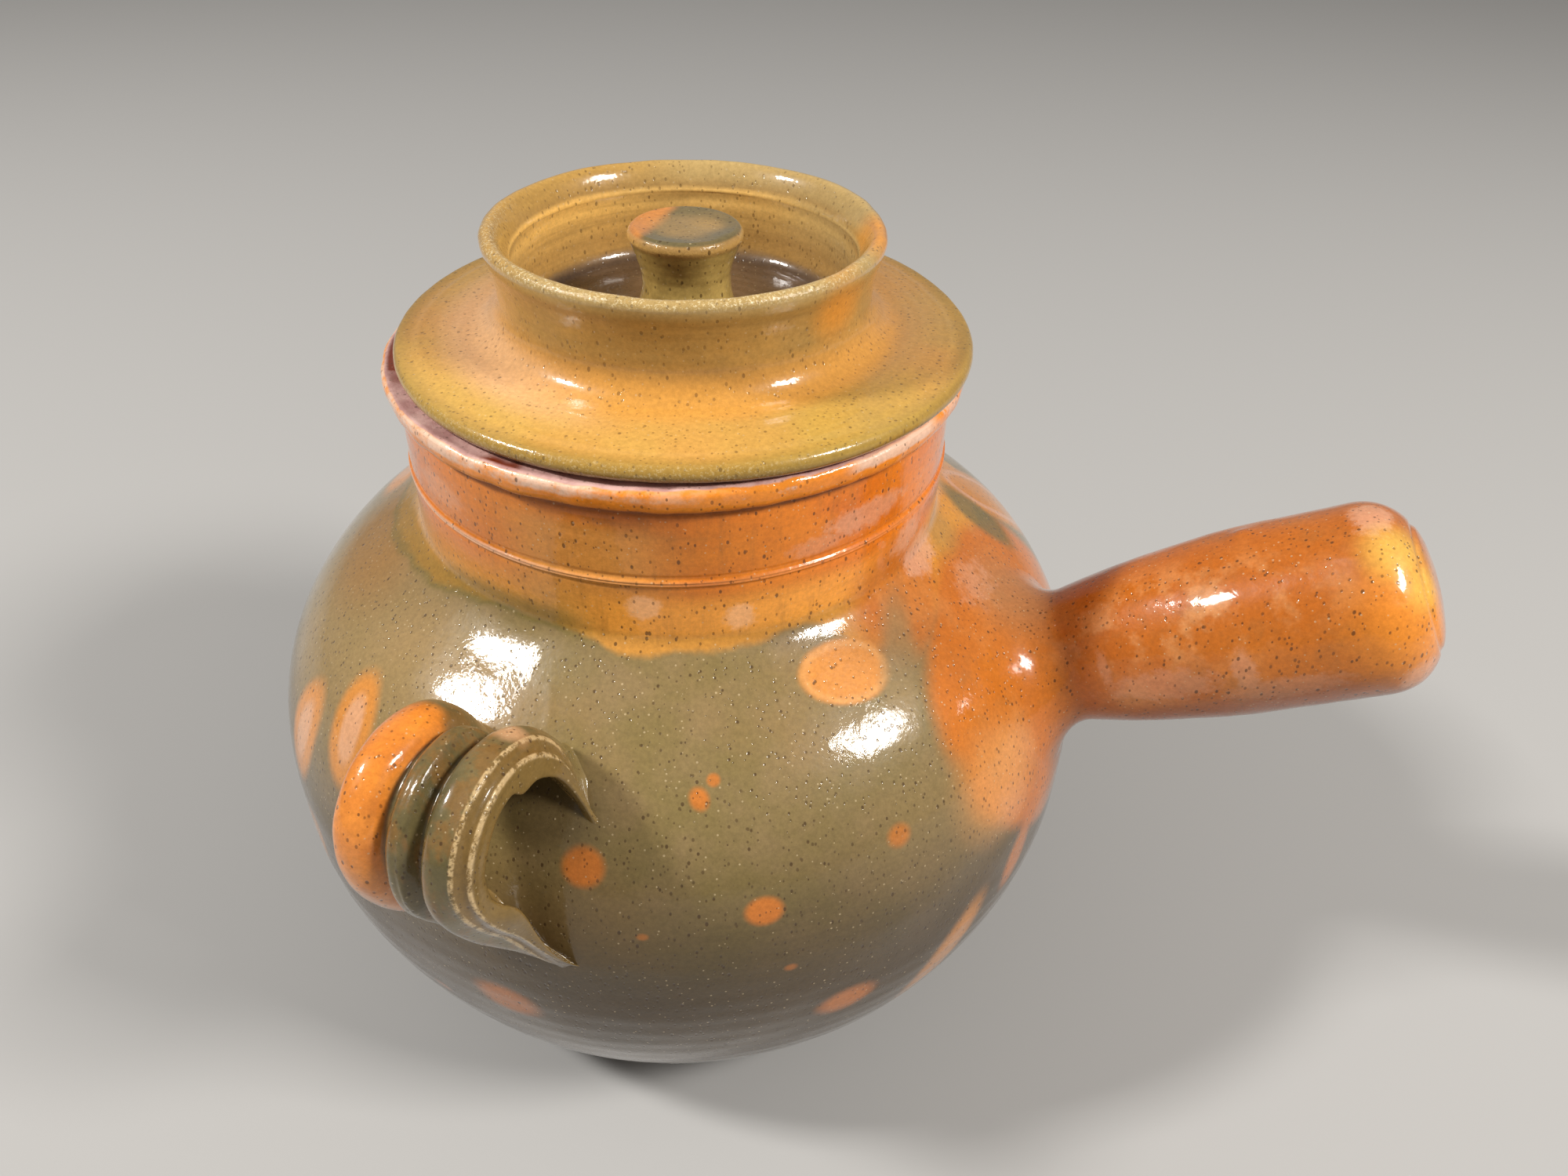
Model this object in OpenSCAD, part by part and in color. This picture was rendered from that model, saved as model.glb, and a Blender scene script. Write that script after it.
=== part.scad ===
/* [Pot] */
// Widest diameter of the belly
belly_d = 257; // [235:1:280]
// Height of the widest place above the base
belly_z = 88; // [78:1:98]
// Diameter of the flat base
base_d = 158; // [130:1:185]
// Radius of the rounding round the base
base_round = 4; // [2:0.5:7]
// Height from the base to the top of the rim
pot_h = 214.5; // [205:0.5:235]
// Height of the belly's upper dome above its widest place
dome_h = 85; // [78:1:92]
// How square the upper dome is, where 2 is an ellipse
dome_power = 2.5; // [2.2:0.1:3]
// How square the lower bowl is, where 2 is an ellipse
bowl_power = 2.1; // [1.9:0.1:2.5]
// Outside diameter of the neck
neck_d = 155.4; // [140:0.2:165]
// Size of the soft curve where the neck runs into the belly
neck_blend = 22; // [12:1:30]
// Thickness of the pot's wall
wall = 6.5; // [5:0.5:9]
// Thickness of the pot's floor
floor_t = 8; // [6:0.5:12]

/* [Rim] */
// How far the rim's bead stands out from the neck
rim_out = 3.6; // [2:0.2:6]
// Height of the rim's bead
rim_h = 7.7; // [6:0.1:9]
// Radius of the edge between the top of the rim and the bead
rim_round = 2.2; // [1:0.2:3.4]
// Distance of the raised line on the neck below the top of the rim
line_drop = 28.8; // [20:0.2:34]
// Height of the raised line over the neck
line_h = 0.7; // [0.4:0.1:2]
// Width of the raised line
line_w = 2.4; // [1.8:0.2:6]

/* [Long handle] */
// Length of the handle from the belly to its end
grip_l = 104.5; // [85:0.5:130]
// Upward tilt of the handle
grip_tilt = 29; // [22:1:34]
// Height at which the handle's centre line leaves the belly
grip_z = 129; // [118:1:136]
// Diameter of the handle near the belly
grip_root_d = 37.5; // [32:0.5:42]
// Largest diameter of the handle
grip_d = 53; // [46:0.5:60]
// Radius of the rounding at the handle's end
grip_round = 17; // [10:1:20]
// Thickness of the handle's wall
grip_wall = 6; // [4:0.5:8]
// Radius of the clay fillet round the handle's root
grip_fillet = 5; // [3:0.5:10]
// Diameter of the vent hole under the handle
vent_d = 3; // [2:0.5:5]

/* [Loop handle] */
// Angle of the loop handle round the pot, from the long handle
loop_angle = -94; // [-110:0.5:-80]
// Width of the strap
loop_w = 34; // [24:1:40]
// Thickness of the strap in its grooves
loop_t = 5.5; // [4:0.5:8]
// Height of the strap's ridges over its grooves
loop_ridge = 4.5; // [2:0.5:6]
// Height of the middle of the upper root
loop_top_z = 148; // [140:1:155]
// Height of the middle of the lower root
loop_low_z = 111; // [104:1:118]
// How far the strap's curve is drawn out from the belly
loop_reach = 46; // [38:1:56]
// How far the strap's curve is drawn up from its roots
loop_rise = 40; // [30:1:46]
// How far the strap's edge nearer the long handle is spread at the upper root
loop_spread_top = 10; // [0:1:14]
// How far the same edge is spread at the lower root
loop_spread_low = 12; // [0:1:14]
// How far that edge is dragged down at the upper root
loop_drag_top = 8; // [0:1:16]
// How far that edge is dragged down at the lower root
loop_drag_low = 14; // [0:1:16]

/* [Lid] */
// Diameter of the lid's plate
lid_d = 160; // [150:1:166]
// Thickness of the plate at its edge
lid_t = 5.2; // [4:0.2:7]
// Rise of the plate from its edge to the raised ring
lid_crown = 1; // [0:0.2:3]
// Outside diameter of the raised ring at its lip
ring_d = 108.4; // [96:0.2:116]
// How far the ring's lip flares past its wall
ring_flare = 3; // [1:0.2:5]
// Thickness of the ring's wall
ring_t = 5; // [4:0.2:7]
// Depth of the slope from the ring's lip down to the inside of its wall
lip_drop = 8; // [4:0.5:8.5]
// Height of the ring's lip above the underside of the plate
ring_h = 33.5; // [24:0.5:44]
// Radius of the soft curve outside the ring's foot
ring_foot = 9; // [5:0.5:12]
// Radius of the soft curve inside the ring's foot
well_round = 6; // [3:0.5:8]
// Depth of the locating flange under the plate
flange_h = 12; // [8:1:16]
// Thickness of the locating flange
flange_t = 5.5; // [4:0.5:7]
// Clearance of the locating flange in the neck
flange_gap = 3.4; // [3.2:0.1:5]
// Gap between the plate and the rim
seat_gap = 0.3; // [0.2:0.1:0.5]
// How far the lid sits off the pot's centre along X
lid_shift_x = 2.5; // [0:0.1:2.5]
// How far the lid sits off the pot's centre along Y
lid_shift_y = 1; // [0:0.1:1.2]

/* [Knob] */
// Diameter of the knob's top
knob_d = 31.4; // [26:0.2:36]
// Height of the knob above the floor of the well
knob_h = 27; // [20:0.5:36]
// Diameter of the knob's waist
knob_waist_d = 24.6; // [20:0.2:26]
// Diameter of the knob's foot
knob_foot_d = 34; // [27:0.5:38]
// Height of the waist above the floor of the well
knob_waist_z = 13; // [10:0.5:15]
// Radius of the rounding round the knob's top
knob_edge = 2.6; // [1.5:0.1:3.5]

/* [Hidden] */
$fn = 96;

belly_r = belly_d/2;
base_r = base_d/2 + base_round;
neck_r = neck_d/2;
mouth_r = neck_r - wall;
rim_r = neck_r + rim_out;
line_z = pot_h - line_drop;
// Depth of the ellipse whose curve reaches the base at the base's radius
bowl_h = belly_z/pow(1 - pow(base_r/belly_r, bowl_power), 1/bowl_power);
// Height of the crease where the rim's bead begins
crease_z = pot_h - rim_h;

lid_z = pot_h + seat_gap;
lid_r = lid_d/2;
well_z = lid_z + lid_t;
ring_r = ring_d/2 - ring_flare;
ring_top = lid_z + ring_h;
flange_r = mouth_r - flange_gap;

// Larger of two sizes, with a soft curve of size k where they cross
function soft_max(a, b, k) = max(a, b) + pow(max(k - abs(a - b), 0), 2)/(4*k);

// Part of the belly's radius at a height, from 1 at the widest place
function swell(z) = z > belly_z
    ? pow(1 - pow(min((z - belly_z)/dome_h, 1), dome_power), 1/dome_power)
    : pow(1 - pow((belly_z - z)/bowl_h, bowl_power), 1/bowl_power);

// Outside radius of the pot, without the raised line
function pot_r(z) = z > belly_z
    ? soft_max(belly_r*swell(z), neck_r, neck_blend)
    : belly_r*swell(z);

// What the raised line adds to the radius at a height
function line_bump(z) = line_h*max(0, 1 - pow(2*(z - line_z)/line_w, 2));

// What the rounding of the base takes off the radius at a height
function base_cut(z) = z < base_round
    ? base_round - sqrt(pow(base_round, 2) - pow(base_round - z, 2))
    : 0;

// Unit normal of the outside, as radius and height
function pot_normal(z) = let (step = 0.2, s = (pot_r(z + step) - pot_r(z - step))/(2*step))
    [1, -s]/norm([1, -s]);

// Heights at which the outside is drawn, closer together at the base and the raised line
base_steps = 5;
belly_steps = 60;
line_steps = 8;
line_low = line_z - line_w/2;
pot_heights = concat(
    [for (i = [0:base_steps - 1]) base_round*(1 - cos(90*i/base_steps))],
    [for (i = [0:belly_steps - 1]) base_round + (line_low - base_round)*i/belly_steps],
    [for (i = [0:line_steps]) line_low + line_w*i/line_steps],
    [for (i = [1:4]) line_low + line_w + (crease_z - line_low - line_w)*i/4]);

outside = [for (z = pot_heights) [pot_r(z) + line_bump(z) - base_cut(z), z]];
// Radius and rise of the corner between the floor and the inside of the wall
corner_r = 3;
corner_z = 1;
inside_all = [for (z = pot_heights) [pot_r(z), z] - wall*pot_normal(max(z, 1))];
inside = [for (p = inside_all) if (p[1] > floor_t + corner_z) p];

// Points of an arc in the half plane, with n steps
function arc(c, r, a0, a1, n) = [for (i = [0:n]) let (a = a0 + (a1 - a0)*i/n) c + r*[cos(a), sin(a)]];

// Radius of the soft edge between the top of the rim and the mouth
mouth_round = 2;
rim_arc = arc([rim_r - rim_round, pot_h - rim_round], rim_round, 0, 90, 6);
// Underside of the bead, a quarter of an ellipse up from the crease
bead_steps = 7;
bead_start = 85;
bead_low = [for (i = [0:bead_steps - 1]) let (a = bead_start*(1 - i/bead_steps))
    [neck_r + rim_out*cos(a), pot_h - rim_round - (rim_h - rim_round)*sin(a)]];
mouth_arc = arc([mouth_r + mouth_round, pot_h - mouth_round], mouth_round, 90, 180, 5);

module pot_core() {
    rotate_extrude($fn = 128)
        polygon(concat([[0, 0]], outside, [[0, crease_z]]));
}

module pot_body() {
    color([0.42, 0.36, 0.2])
        rotate_extrude($fn = 128)
            polygon(concat(
                [[0, 0]],
                outside,
                bead_low,
                rim_arc,
                mouth_arc,
                [for (i = [len(inside) - 1:-1:0]) inside[i]],
                [[pot_r(floor_t) - wall - corner_r, floor_t], [0, floor_t]]));
}

// Where the handle's centre line leaves the belly
grip_from = pot_r(grip_z);
// Part of the handle's length at which it reaches its full diameter
grip_swell = 0.68;
// How far the handle is drawn into the belly before it is trimmed
grip_inset = 10;
// How far the belly curves away below the edge of the root
root_sag = pow(grip_root_d/2 + grip_fillet, 2)/(2*dome_h);

// Radius of the handle at a distance from the belly
function grip_r(s) = let (x = min(s/(grip_l*grip_swell), 1))
    grip_d/2 - (grip_d - grip_root_d)/2*pow(1 - x, 2);

// Extra radius of the clay fillet, by distance from its low edge
function fillet_r(x) = grip_fillet - sqrt(pow(grip_fillet, 2) - pow(grip_fillet - x, 2));

grip_steps = 24;
fillet_steps = 8;
grip_curve = concat(
    [for (i = [0:fillet_steps]) let (x = grip_fillet*i/fillet_steps, s = x - root_sag)
        [grip_r(max(s, 0)) + fillet_r(x), s]],
    [for (i = [1:grip_steps])
        let (low = grip_fillet - root_sag, s = low + (grip_l - grip_round - low)*i/grip_steps)
            [grip_r(max(s, 0)), s]]);
grip_end = arc([grip_d/2 - grip_round, grip_l - grip_round], grip_round, 0, 90, 12);
hollow_round = grip_round - grip_wall;
hollow_end = arc([grip_d/2 - grip_round, grip_l - grip_round], hollow_round, 0, 90, 10);

module along_grip() {
    translate([grip_from, 0, grip_z])
        rotate([0, 90 - grip_tilt, 0])
            children();
}

module long_handle() {
    color([0.78, 0.36, 0.09])
        difference() {
            along_grip()
                rotate_extrude($fn = 96)
                    polygon(concat(
                        [[0, -grip_inset], [grip_root_d/2 + grip_fillet, -grip_inset]],
                        grip_curve,
                        grip_end,
                        [[0, grip_l]]));
            along_grip()
                rotate_extrude($fn = 96)
                    polygon(concat(
                        [[0, -2*grip_inset], [grip_root_d/2 - grip_wall, -2*grip_inset]],
                        [for (i = [0:grip_steps]) let (s = (grip_l - grip_round)*i/grip_steps)
                            [grip_r(s) - grip_wall, s]],
                        hollow_end,
                        [[0, grip_l - grip_wall]]));
            pot_core();
            along_grip()
                translate([0, 0, grip_l/4])
                    rotate([0, 90, 0])
                        cylinder(d = vent_d, h = grip_d, $fn = 32);
        }
}

// The strap's centre line, as distance from the pot's axis and height
loop_sunk = 3;
// Part of the reach that the upper end of the curve has
loop_top_part = 0.47;
loop_points = [
    [pot_r(loop_top_z) - loop_sunk, loop_top_z],
    [pot_r(loop_top_z) + loop_reach*loop_top_part, loop_top_z + loop_rise],
    [pot_r(loop_low_z) + loop_reach, loop_low_z + loop_rise],
    [pot_r(loop_low_z) - loop_sunk, loop_low_z]];

function loop_at(u) = pow(1 - u, 3)*loop_points[0] + 3*pow(1 - u, 2)*u*loop_points[1]
    + 3*(1 - u)*pow(u, 2)*loop_points[2] + pow(u, 3)*loop_points[3];

function loop_out(u) = let (d = loop_at(min(u + 0.01, 1)) - loop_at(max(u - 0.01, 0)))
    [-d[1], d[0]]/norm(d);

// How strongly a place on the strap is pressed onto the belly, 1 at the roots
press_power = 5;
function pressed(u) = pow(abs(2*u - 1), press_power);

// Value for a place along the strap, from the upper root to the lower one
function between(top, low, u) = top + (low - top)*u;

// Place across the strap, spread towards the long handle at the roots
function across(x, u) = x*loop_w
    + (x + 0.5)*between(loop_spread_top, loop_spread_low, u)*pressed(u);

// How far a place across the strap is dragged down
function dragged(x, u) = between(loop_drag_top, loop_drag_low, u)*pow(max(x, 0)*2, 2)*pressed(u);

// Point of the strap in its radial plane, laid round the belly at the roots
function strap_point(x, h, u) = let (
    c = loop_at(u) + h*loop_out(u),
    y = across(x, u),
    drop = dragged(x, u),
    lean = (pot_r(c[1] - drop) - pot_r(c[1]))*pressed(u),
    wrap = pow(y, 2)/belly_d*pressed(u))
    [c[0] + lean - wrap, y, c[1] - drop];

// Cross-section of the strap: across it, and out from its inner face
ridges = 3;
strap_steps = 24;
strap_inner = 6;
edge_thin = loop_t/3;
// Part of the ridge's height that the strap's edges lose
edge_fall = 0.35;
function ridge_wave(x) = abs(cos(180*ridges*x));
function ridge_part(x) = abs(x)*ridges > 1 ? 1 - edge_fall*(1 - ridge_wave(x)) : ridge_wave(x);
function ridge_t(x) = loop_t + loop_ridge*ridge_part(x);
strap = concat(
    [for (i = [0:strap_steps]) let (x = i/strap_steps - 0.5)
        [x, ridge_t(x) - (abs(x) == 0.5 ? edge_thin : 0)]],
    [for (i = [0:strap_inner]) let (x = 0.5 - i/strap_inner)
        [x, abs(x) == 0.5 ? edge_thin : 0]]);

loop_rings = 36;
ring_points = len(strap);
module loop_handle() {
    points = [for (j = [0:loop_rings]) for (p = strap)
        strap_point(p[0], p[1] - (loop_t + loop_ridge)/2, j/loop_rings)];
    sides = [for (j = [0:loop_rings - 1]) for (i = [0:ring_points - 1])
        let (a = j*ring_points + i, b = j*ring_points + (i + 1)%ring_points)
            [a, b, b + ring_points, a + ring_points]];
    first = [for (i = [ring_points - 1:-1:0]) i];
    last = [for (i = [0:ring_points - 1]) loop_rings*ring_points + i];
    color([0.45, 0.4, 0.2])
        difference() {
            rotate([0, 0, loop_angle])
                polyhedron(points, concat([first], sides, [last]));
            pot_core();
        }
}

lid_edge = arc([lid_r - lid_t/2, lid_z + lid_t/2], lid_t/2, -90, 80, 10);
foot_centre = [ring_r + ring_foot, well_z + lid_crown + ring_foot];
foot_arc = arc(foot_centre, ring_foot, 270, 180, 8);
lip_r = ring_t/2;
lip_arc = arc([ring_d/2 - lip_r, ring_top - lip_r], lip_r, -20, 90, 7);
wall_low = foot_centre[1];
wall_high = ring_top - 2*lip_r;
wall_steps = 8;
// How far the lip stands out past the top of the ring's wall
lip_out = 0.5;
// How late the ring's wall begins to flare, where 1 is a straight cone
flare_power = 2.5;
wall_curve = [for (i = [1:wall_steps]) let (x = i/wall_steps)
    [ring_r + (ring_flare - lip_out)*pow(x, flare_power), wall_low + (wall_high - wall_low)*x]];
well_r = ring_r - ring_t;
lip_steps = 9;
// Quarter of an ellipse from the top of the lip down to the well's wall
lip_slope = [for (i = [1:lip_steps]) let (a = 90*i/lip_steps, top_r = ring_d/2 - lip_r)
    [top_r - (top_r - well_r)*sin(a), ring_top - lip_drop*(1 - cos(a))]];
well_arc = arc([well_r - well_round, well_z + well_round], well_round, 0, -90, 8);

module at_lid() {
    translate([lid_shift_x, lid_shift_y, 0])
        children();
}

module lid() {
    color([0.66, 0.46, 0.13])
        at_lid()
            rotate_extrude($fn = 128)
                polygon(concat(
                    [[0, lid_z], [flange_r - flange_t, lid_z], [flange_r - flange_t, lid_z - flange_h]],
                    [[flange_r, lid_z - flange_h], [flange_r, lid_z]],
                    lid_edge,
                    foot_arc,
                    wall_curve,
                    lip_arc,
                    lip_slope,
                    well_arc,
                    [[0, well_z]]));
}

knob_steps = 10;
knob_r = knob_d/2;
waist_r = knob_waist_d/2;
knob_shoulder = knob_h - 2*knob_edge;
// How quickly the knob narrows from its foot, and widens to its top
knob_foot_power = 2.5;
knob_top_power = 1.7;
knob_curve = concat(
    [for (i = [0:knob_steps]) let (x = i/knob_steps)
        [waist_r + (knob_foot_d/2 - waist_r)*pow(1 - x, knob_foot_power), knob_waist_z*x]],
    [for (i = [1:knob_steps]) let (x = i/knob_steps)
        [waist_r + (knob_r - waist_r)*pow(x, knob_top_power),
            knob_waist_z + (knob_shoulder - knob_waist_z)*x]]);

module lid_knob() {
    color([0.5, 0.4, 0.16])
        at_lid()
            translate([0, 0, well_z])
                rotate_extrude($fn = 96)
                    polygon(concat(
                        [[0, 0]],
                        knob_curve,
                        arc([knob_r - knob_edge, knob_h - knob_edge], knob_edge, 0, 90, 8),
                        [[0, knob_h]]));
}

pot_body();
long_handle();
loop_handle();
lid();
lid_knob();
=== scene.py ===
import math

import bpy
import numpy as np
from mathutils import Matrix


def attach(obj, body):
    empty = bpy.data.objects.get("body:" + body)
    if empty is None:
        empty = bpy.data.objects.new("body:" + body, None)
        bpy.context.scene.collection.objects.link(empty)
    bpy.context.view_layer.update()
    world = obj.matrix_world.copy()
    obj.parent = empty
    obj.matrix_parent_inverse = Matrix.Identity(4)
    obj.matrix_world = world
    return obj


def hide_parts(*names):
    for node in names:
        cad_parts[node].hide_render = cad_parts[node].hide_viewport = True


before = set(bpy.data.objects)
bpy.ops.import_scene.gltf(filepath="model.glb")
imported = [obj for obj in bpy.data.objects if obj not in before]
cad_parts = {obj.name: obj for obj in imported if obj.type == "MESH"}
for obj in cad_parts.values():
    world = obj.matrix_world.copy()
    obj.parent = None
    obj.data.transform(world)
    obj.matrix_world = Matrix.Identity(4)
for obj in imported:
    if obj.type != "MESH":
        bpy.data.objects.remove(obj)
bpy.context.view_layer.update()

MM = 0.001
RNG_RIPPLE = 11

# Camera and stage

YAW, PITCH, ROLL, TURN = 0.106, 0.651, -0.033, math.radians(22.2)
CAMERA_AT = np.array([0.11480, -0.28131, 0.35676])


def turned(v):
    c, s = math.cos(TURN), math.sin(TURN)
    return np.array([c * v[0] - s * v[1], s * v[0] + c * v[1], v[2]])


def make_camera():
    ahead = np.array([math.sin(YAW) * math.cos(PITCH), math.cos(YAW) * math.cos(PITCH), -math.sin(PITCH)])
    right = np.array([math.cos(YAW), -math.sin(YAW), 0.0])
    down = np.cross(ahead, right)
    right_2 = math.cos(ROLL) * right + math.sin(ROLL) * down
    down_2 = -math.sin(ROLL) * right + math.cos(ROLL) * down
    x, y, z = turned(right_2), -turned(down_2), -turned(ahead)
    data = bpy.data.cameras.new("camera")
    data.lens = 26.515
    data.sensor_width = 36.0
    data.sensor_fit = "HORIZONTAL"
    data.clip_start = 0.01
    camera = bpy.data.objects.new("camera", data)
    bpy.context.scene.collection.objects.link(camera)
    m = Matrix.Identity(4)
    for i in range(3):
        m[i][0], m[i][1], m[i][2], m[i][3] = x[i], y[i], z[i], CAMERA_AT[i]
    camera.matrix_world = m
    bpy.context.scene.camera = camera


def softbox(name, azimuth, elevation, distance, size, power, colour):
    """An area light that looks at the pot from that direction."""
    a, e = math.radians(azimuth), math.radians(elevation)
    ray = np.array([math.cos(a) * math.cos(e), math.sin(a) * math.cos(e), math.sin(e)])
    at = np.array([0.04, -0.03, 0.15]) + distance * ray
    data = bpy.data.lights.new(name, "AREA")
    data.shape = "RECTANGLE"
    data.size, data.size_y = size
    data.energy = power
    data.color = colour
    light = bpy.data.objects.new(name, data)
    bpy.context.scene.collection.objects.link(light)
    z = ray
    x = np.cross([0.0, 0.0, 1.0], z)
    x /= np.linalg.norm(x)
    y = np.cross(z, x)
    m = Matrix.Identity(4)
    for i in range(3):
        m[i][0], m[i][1], m[i][2], m[i][3] = x[i], y[i], z[i], at[i]
    light.matrix_world = m


# Numbers for surfaces, in mm

def soft_max(a, b, k):
    return np.maximum(a, b) + np.maximum(k - np.abs(a - b), 0) ** 2 / (4 * k)


BELLY_R, BELLY_Z, BASE_R, NECK_R, BLEND = 128.5, 88.0, 83.0, 77.7, 22.0
DOME_H, DOME_P, BOWL_P = 85.0, 2.5, 2.1
BOWL_H = BELLY_Z / (1 - (BASE_R / BELLY_R) ** BOWL_P) ** (1 / BOWL_P)
LINE_Z, POT_H, BASE_ROUND, WALL, FLOOR_T = 185.7, 214.5, 4.0, 6.5, 8.0
RIM_OUT, RIM_H, RIM_ROUND, MOUTH_ROUND = 3.6, 7.7, 2.2, 2.0
RIM_R, MOUTH_R, CREASE_Z = NECK_R + RIM_OUT, NECK_R - WALL, POT_H - RIM_H


def pot_r(z):
    z = np.asarray(z, float)
    up = np.clip((z - BELLY_Z) / DOME_H, 0, 1)
    low = np.clip((BELLY_Z - z) / BOWL_H, 0, 1)
    upper = soft_max(BELLY_R * (1 - up ** DOME_P) ** (1 / DOME_P), NECK_R, BLEND)
    lower = BELLY_R * (1 - low ** BOWL_P) ** (1 / BOWL_P)
    return np.where(z > BELLY_Z, upper, lower)


def pot_slope(z):
    return (pot_r(z + 0.2) - pot_r(z - 0.2)) / 0.4


def smooth(x, low, high):
    t = np.clip((x - low) / (high - low), 0, 1)
    return t * t * (3 - 2 * t)


def ripple(p, length, seed, n=9):
    """Smooth unevenness from a few waves, about -1 to 1."""
    rng = np.random.default_rng(seed)
    d = rng.normal(size=(n, 3))
    d /= np.linalg.norm(d, axis=1)[:, None]
    k = 2 * math.pi / (length * rng.uniform(0.7, 1.4, n))
    f = rng.uniform(0, 2 * math.pi, n)
    out = 0
    for i in range(n):
        out = out + np.sin(k[i] * (p @ d[i]) + f[i])
    return out / math.sqrt(n) / 1.2


def stroke(p, a, b, width):
    """1 on the line from a to b, falling to 0 away from it."""
    a, b = np.array(a, float), np.array(b, float)
    d = b - a
    t = np.clip(((p - a) @ d) / (d @ d), 0, 1)
    off = np.linalg.norm(p - (a + t[..., None] * d), axis=-1)
    return np.exp(-(off / width) ** 2)


# Finger mark above the loop handle's root: start, end, width and height
SMEARS = [((-1.5, -90, 159), (1, -97, 153), 1.5, 0.12)]

# Soft dents and swellings beside them: centre, width and height
DENTS = [
    ((-39, -90, 151.5), 12.5, 0.46),
    ((-29.5, -82, 159), 7.5, -0.26),
    ((-21.5, -84.5, 158.5), 4.5, -0.12),
    ((-15.5, -84, 160), 10.5, -0.41),
]


def belly_bumps(p):
    """Height of the unevenness of the hand-thrown outside, in mm."""
    x, y, z = p[..., 0], p[..., 1], p[..., 2]
    turn = np.arctan2(y, x)
    body = smooth(z, 6, 30) * (1 - smooth(z, 150, 178))
    lower = 1 - 0.8 * smooth(z, 70, 115)
    out = 0.045 * body * lower * np.sin(2 * math.pi * (z + 1.2 * np.sin(turn + 0.5)) / 7.4 + 0.8 * np.sin(2 * turn))
    out += 0.012 * body * lower * np.sin(2 * math.pi * z / 3.1 + 1.3 * np.sin(turn - 1))
    out += 0.25 * smooth(z, 3, 25) * (1 - 0.6 * smooth(z, 170, 185)) * (ripple(p, 95, 3) - 0.8)
    out += 0.035 * ripple(p, 17, 5) * smooth(z, 3, 12)
    away = (np.degrees(turn) - 20 + 180) % 360 - 180
    out += 0.9 * np.exp(-(away / 34) ** 2 - ((z - 58) / 36) ** 2)
    for a, b, width, height in SMEARS:
        out += height * stroke(p, a, b, width)
    for at, width, height in DENTS:
        out += height * np.exp(-(np.linalg.norm(p - np.array(at), axis=-1) / width) ** 2)
    return out


def pot_gap(p):
    """Distance of points outside the pot's finished surface, in mm."""
    z = p[..., 2]
    radius = np.hypot(p[..., 0], p[..., 1])
    nr = 1 / np.sqrt(1 + pot_slope(z) ** 2)
    return (radius - pot_r(z)) * nr - belly_bumps(p)


def pot_normal(p):
    s = pot_slope(p[..., 2])
    radius = np.hypot(p[..., 0], p[..., 1])
    n = np.stack([p[..., 0] / radius, p[..., 1] / radius, -s], -1)
    return n / np.linalg.norm(n, axis=-1)[..., None]


def arc(cx, cz, r, a0, a1, n):
    a = np.radians(np.linspace(a0, a1, n))
    return np.stack([cx + r * np.cos(a), cz + r * np.sin(a)], -1)


# Meshes

def grid_mesh(name, p, close_first=None, close_last=None, closed=True):
    """A mesh from rows of points in mm, closed round each row, with an optional point that closes each end."""
    rows, cols = p.shape[:2]
    verts = p.reshape(-1, 3)
    i, j = np.meshgrid(np.arange(rows - 1), np.arange(cols if closed else cols - 1), indexing="ij")
    k = (j + 1) % cols
    faces = np.stack([i * cols + j, i * cols + k, (i + 1) * cols + k, (i + 1) * cols + j], -1).reshape(-1, 4).tolist()
    extra = []
    for row, point in ((0, close_first), (rows - 1, close_last)):
        if point is None:
            continue
        tip = rows * cols + len(extra)
        extra.append(point)
        ring = [row * cols + c for c in range(cols)]
        for c in range(cols):
            a, b = ring[c], ring[(c + 1) % cols]
            faces.append([tip, b, a] if row == 0 else [tip, a, b])
    if extra:
        verts = np.vstack([verts, np.array(extra, float)])
    mesh = bpy.data.meshes.new(name)
    mesh.from_pydata((verts * MM).tolist(), [], faces)
    mesh.validate()
    mesh.polygons.foreach_set("use_smooth", [True] * len(mesh.polygons))
    mesh.update()
    piece = bpy.data.objects.new(name, mesh)
    bpy.context.scene.collection.objects.link(piece)
    return piece


def face_outwards(piece):
    """Turns the faces so that their normals point out of the closed piece."""
    mesh = piece.data
    verts = np.empty(len(mesh.vertices) * 3)
    mesh.vertices.foreach_get("co", verts)
    verts = verts.reshape(-1, 3)
    mesh.calc_loop_triangles()
    tri = np.empty(len(mesh.loop_triangles) * 3, int)
    mesh.loop_triangles.foreach_get("vertices", tri)
    a, b, c = verts[tri.reshape(-1, 3)].transpose(1, 0, 2)
    if np.einsum("ij,ij->i", a, np.cross(b, c)).sum() < 0:
        mesh.flip_normals()


def paint_masks(piece, name, values):
    """Stores three masks for each point as one colour attribute."""
    data = np.ones((len(values), 4))
    data[:, :3] = values
    layer = piece.data.attributes.new(name, "FLOAT_COLOR", "POINT")
    layer.data.foreach_set("color", data.ravel())


def dress(piece, body, nodes, materials, faces=None):
    for m in materials:
        piece.data.materials.append(m)
    if faces is not None:
        piece.data.polygons.foreach_set("material_index", faces)
    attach(piece, body)
    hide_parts(*nodes)


def turn_steps(n, dense_at, dense_width, gain):
    """Angles round a circle, closer together near one direction."""
    a = np.linspace(-math.pi, math.pi, 4001)
    off = (np.degrees(a) - dense_at + 180) % 360 - 180
    weight = 1 + gain * np.exp(-(off / dense_width) ** 2)
    total = np.concatenate([[0], np.cumsum((weight[1:] + weight[:-1]) / 2)])
    return np.interp(np.linspace(0, total[-1], n + 1)[:-1], total, a)


# Pot body

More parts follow.
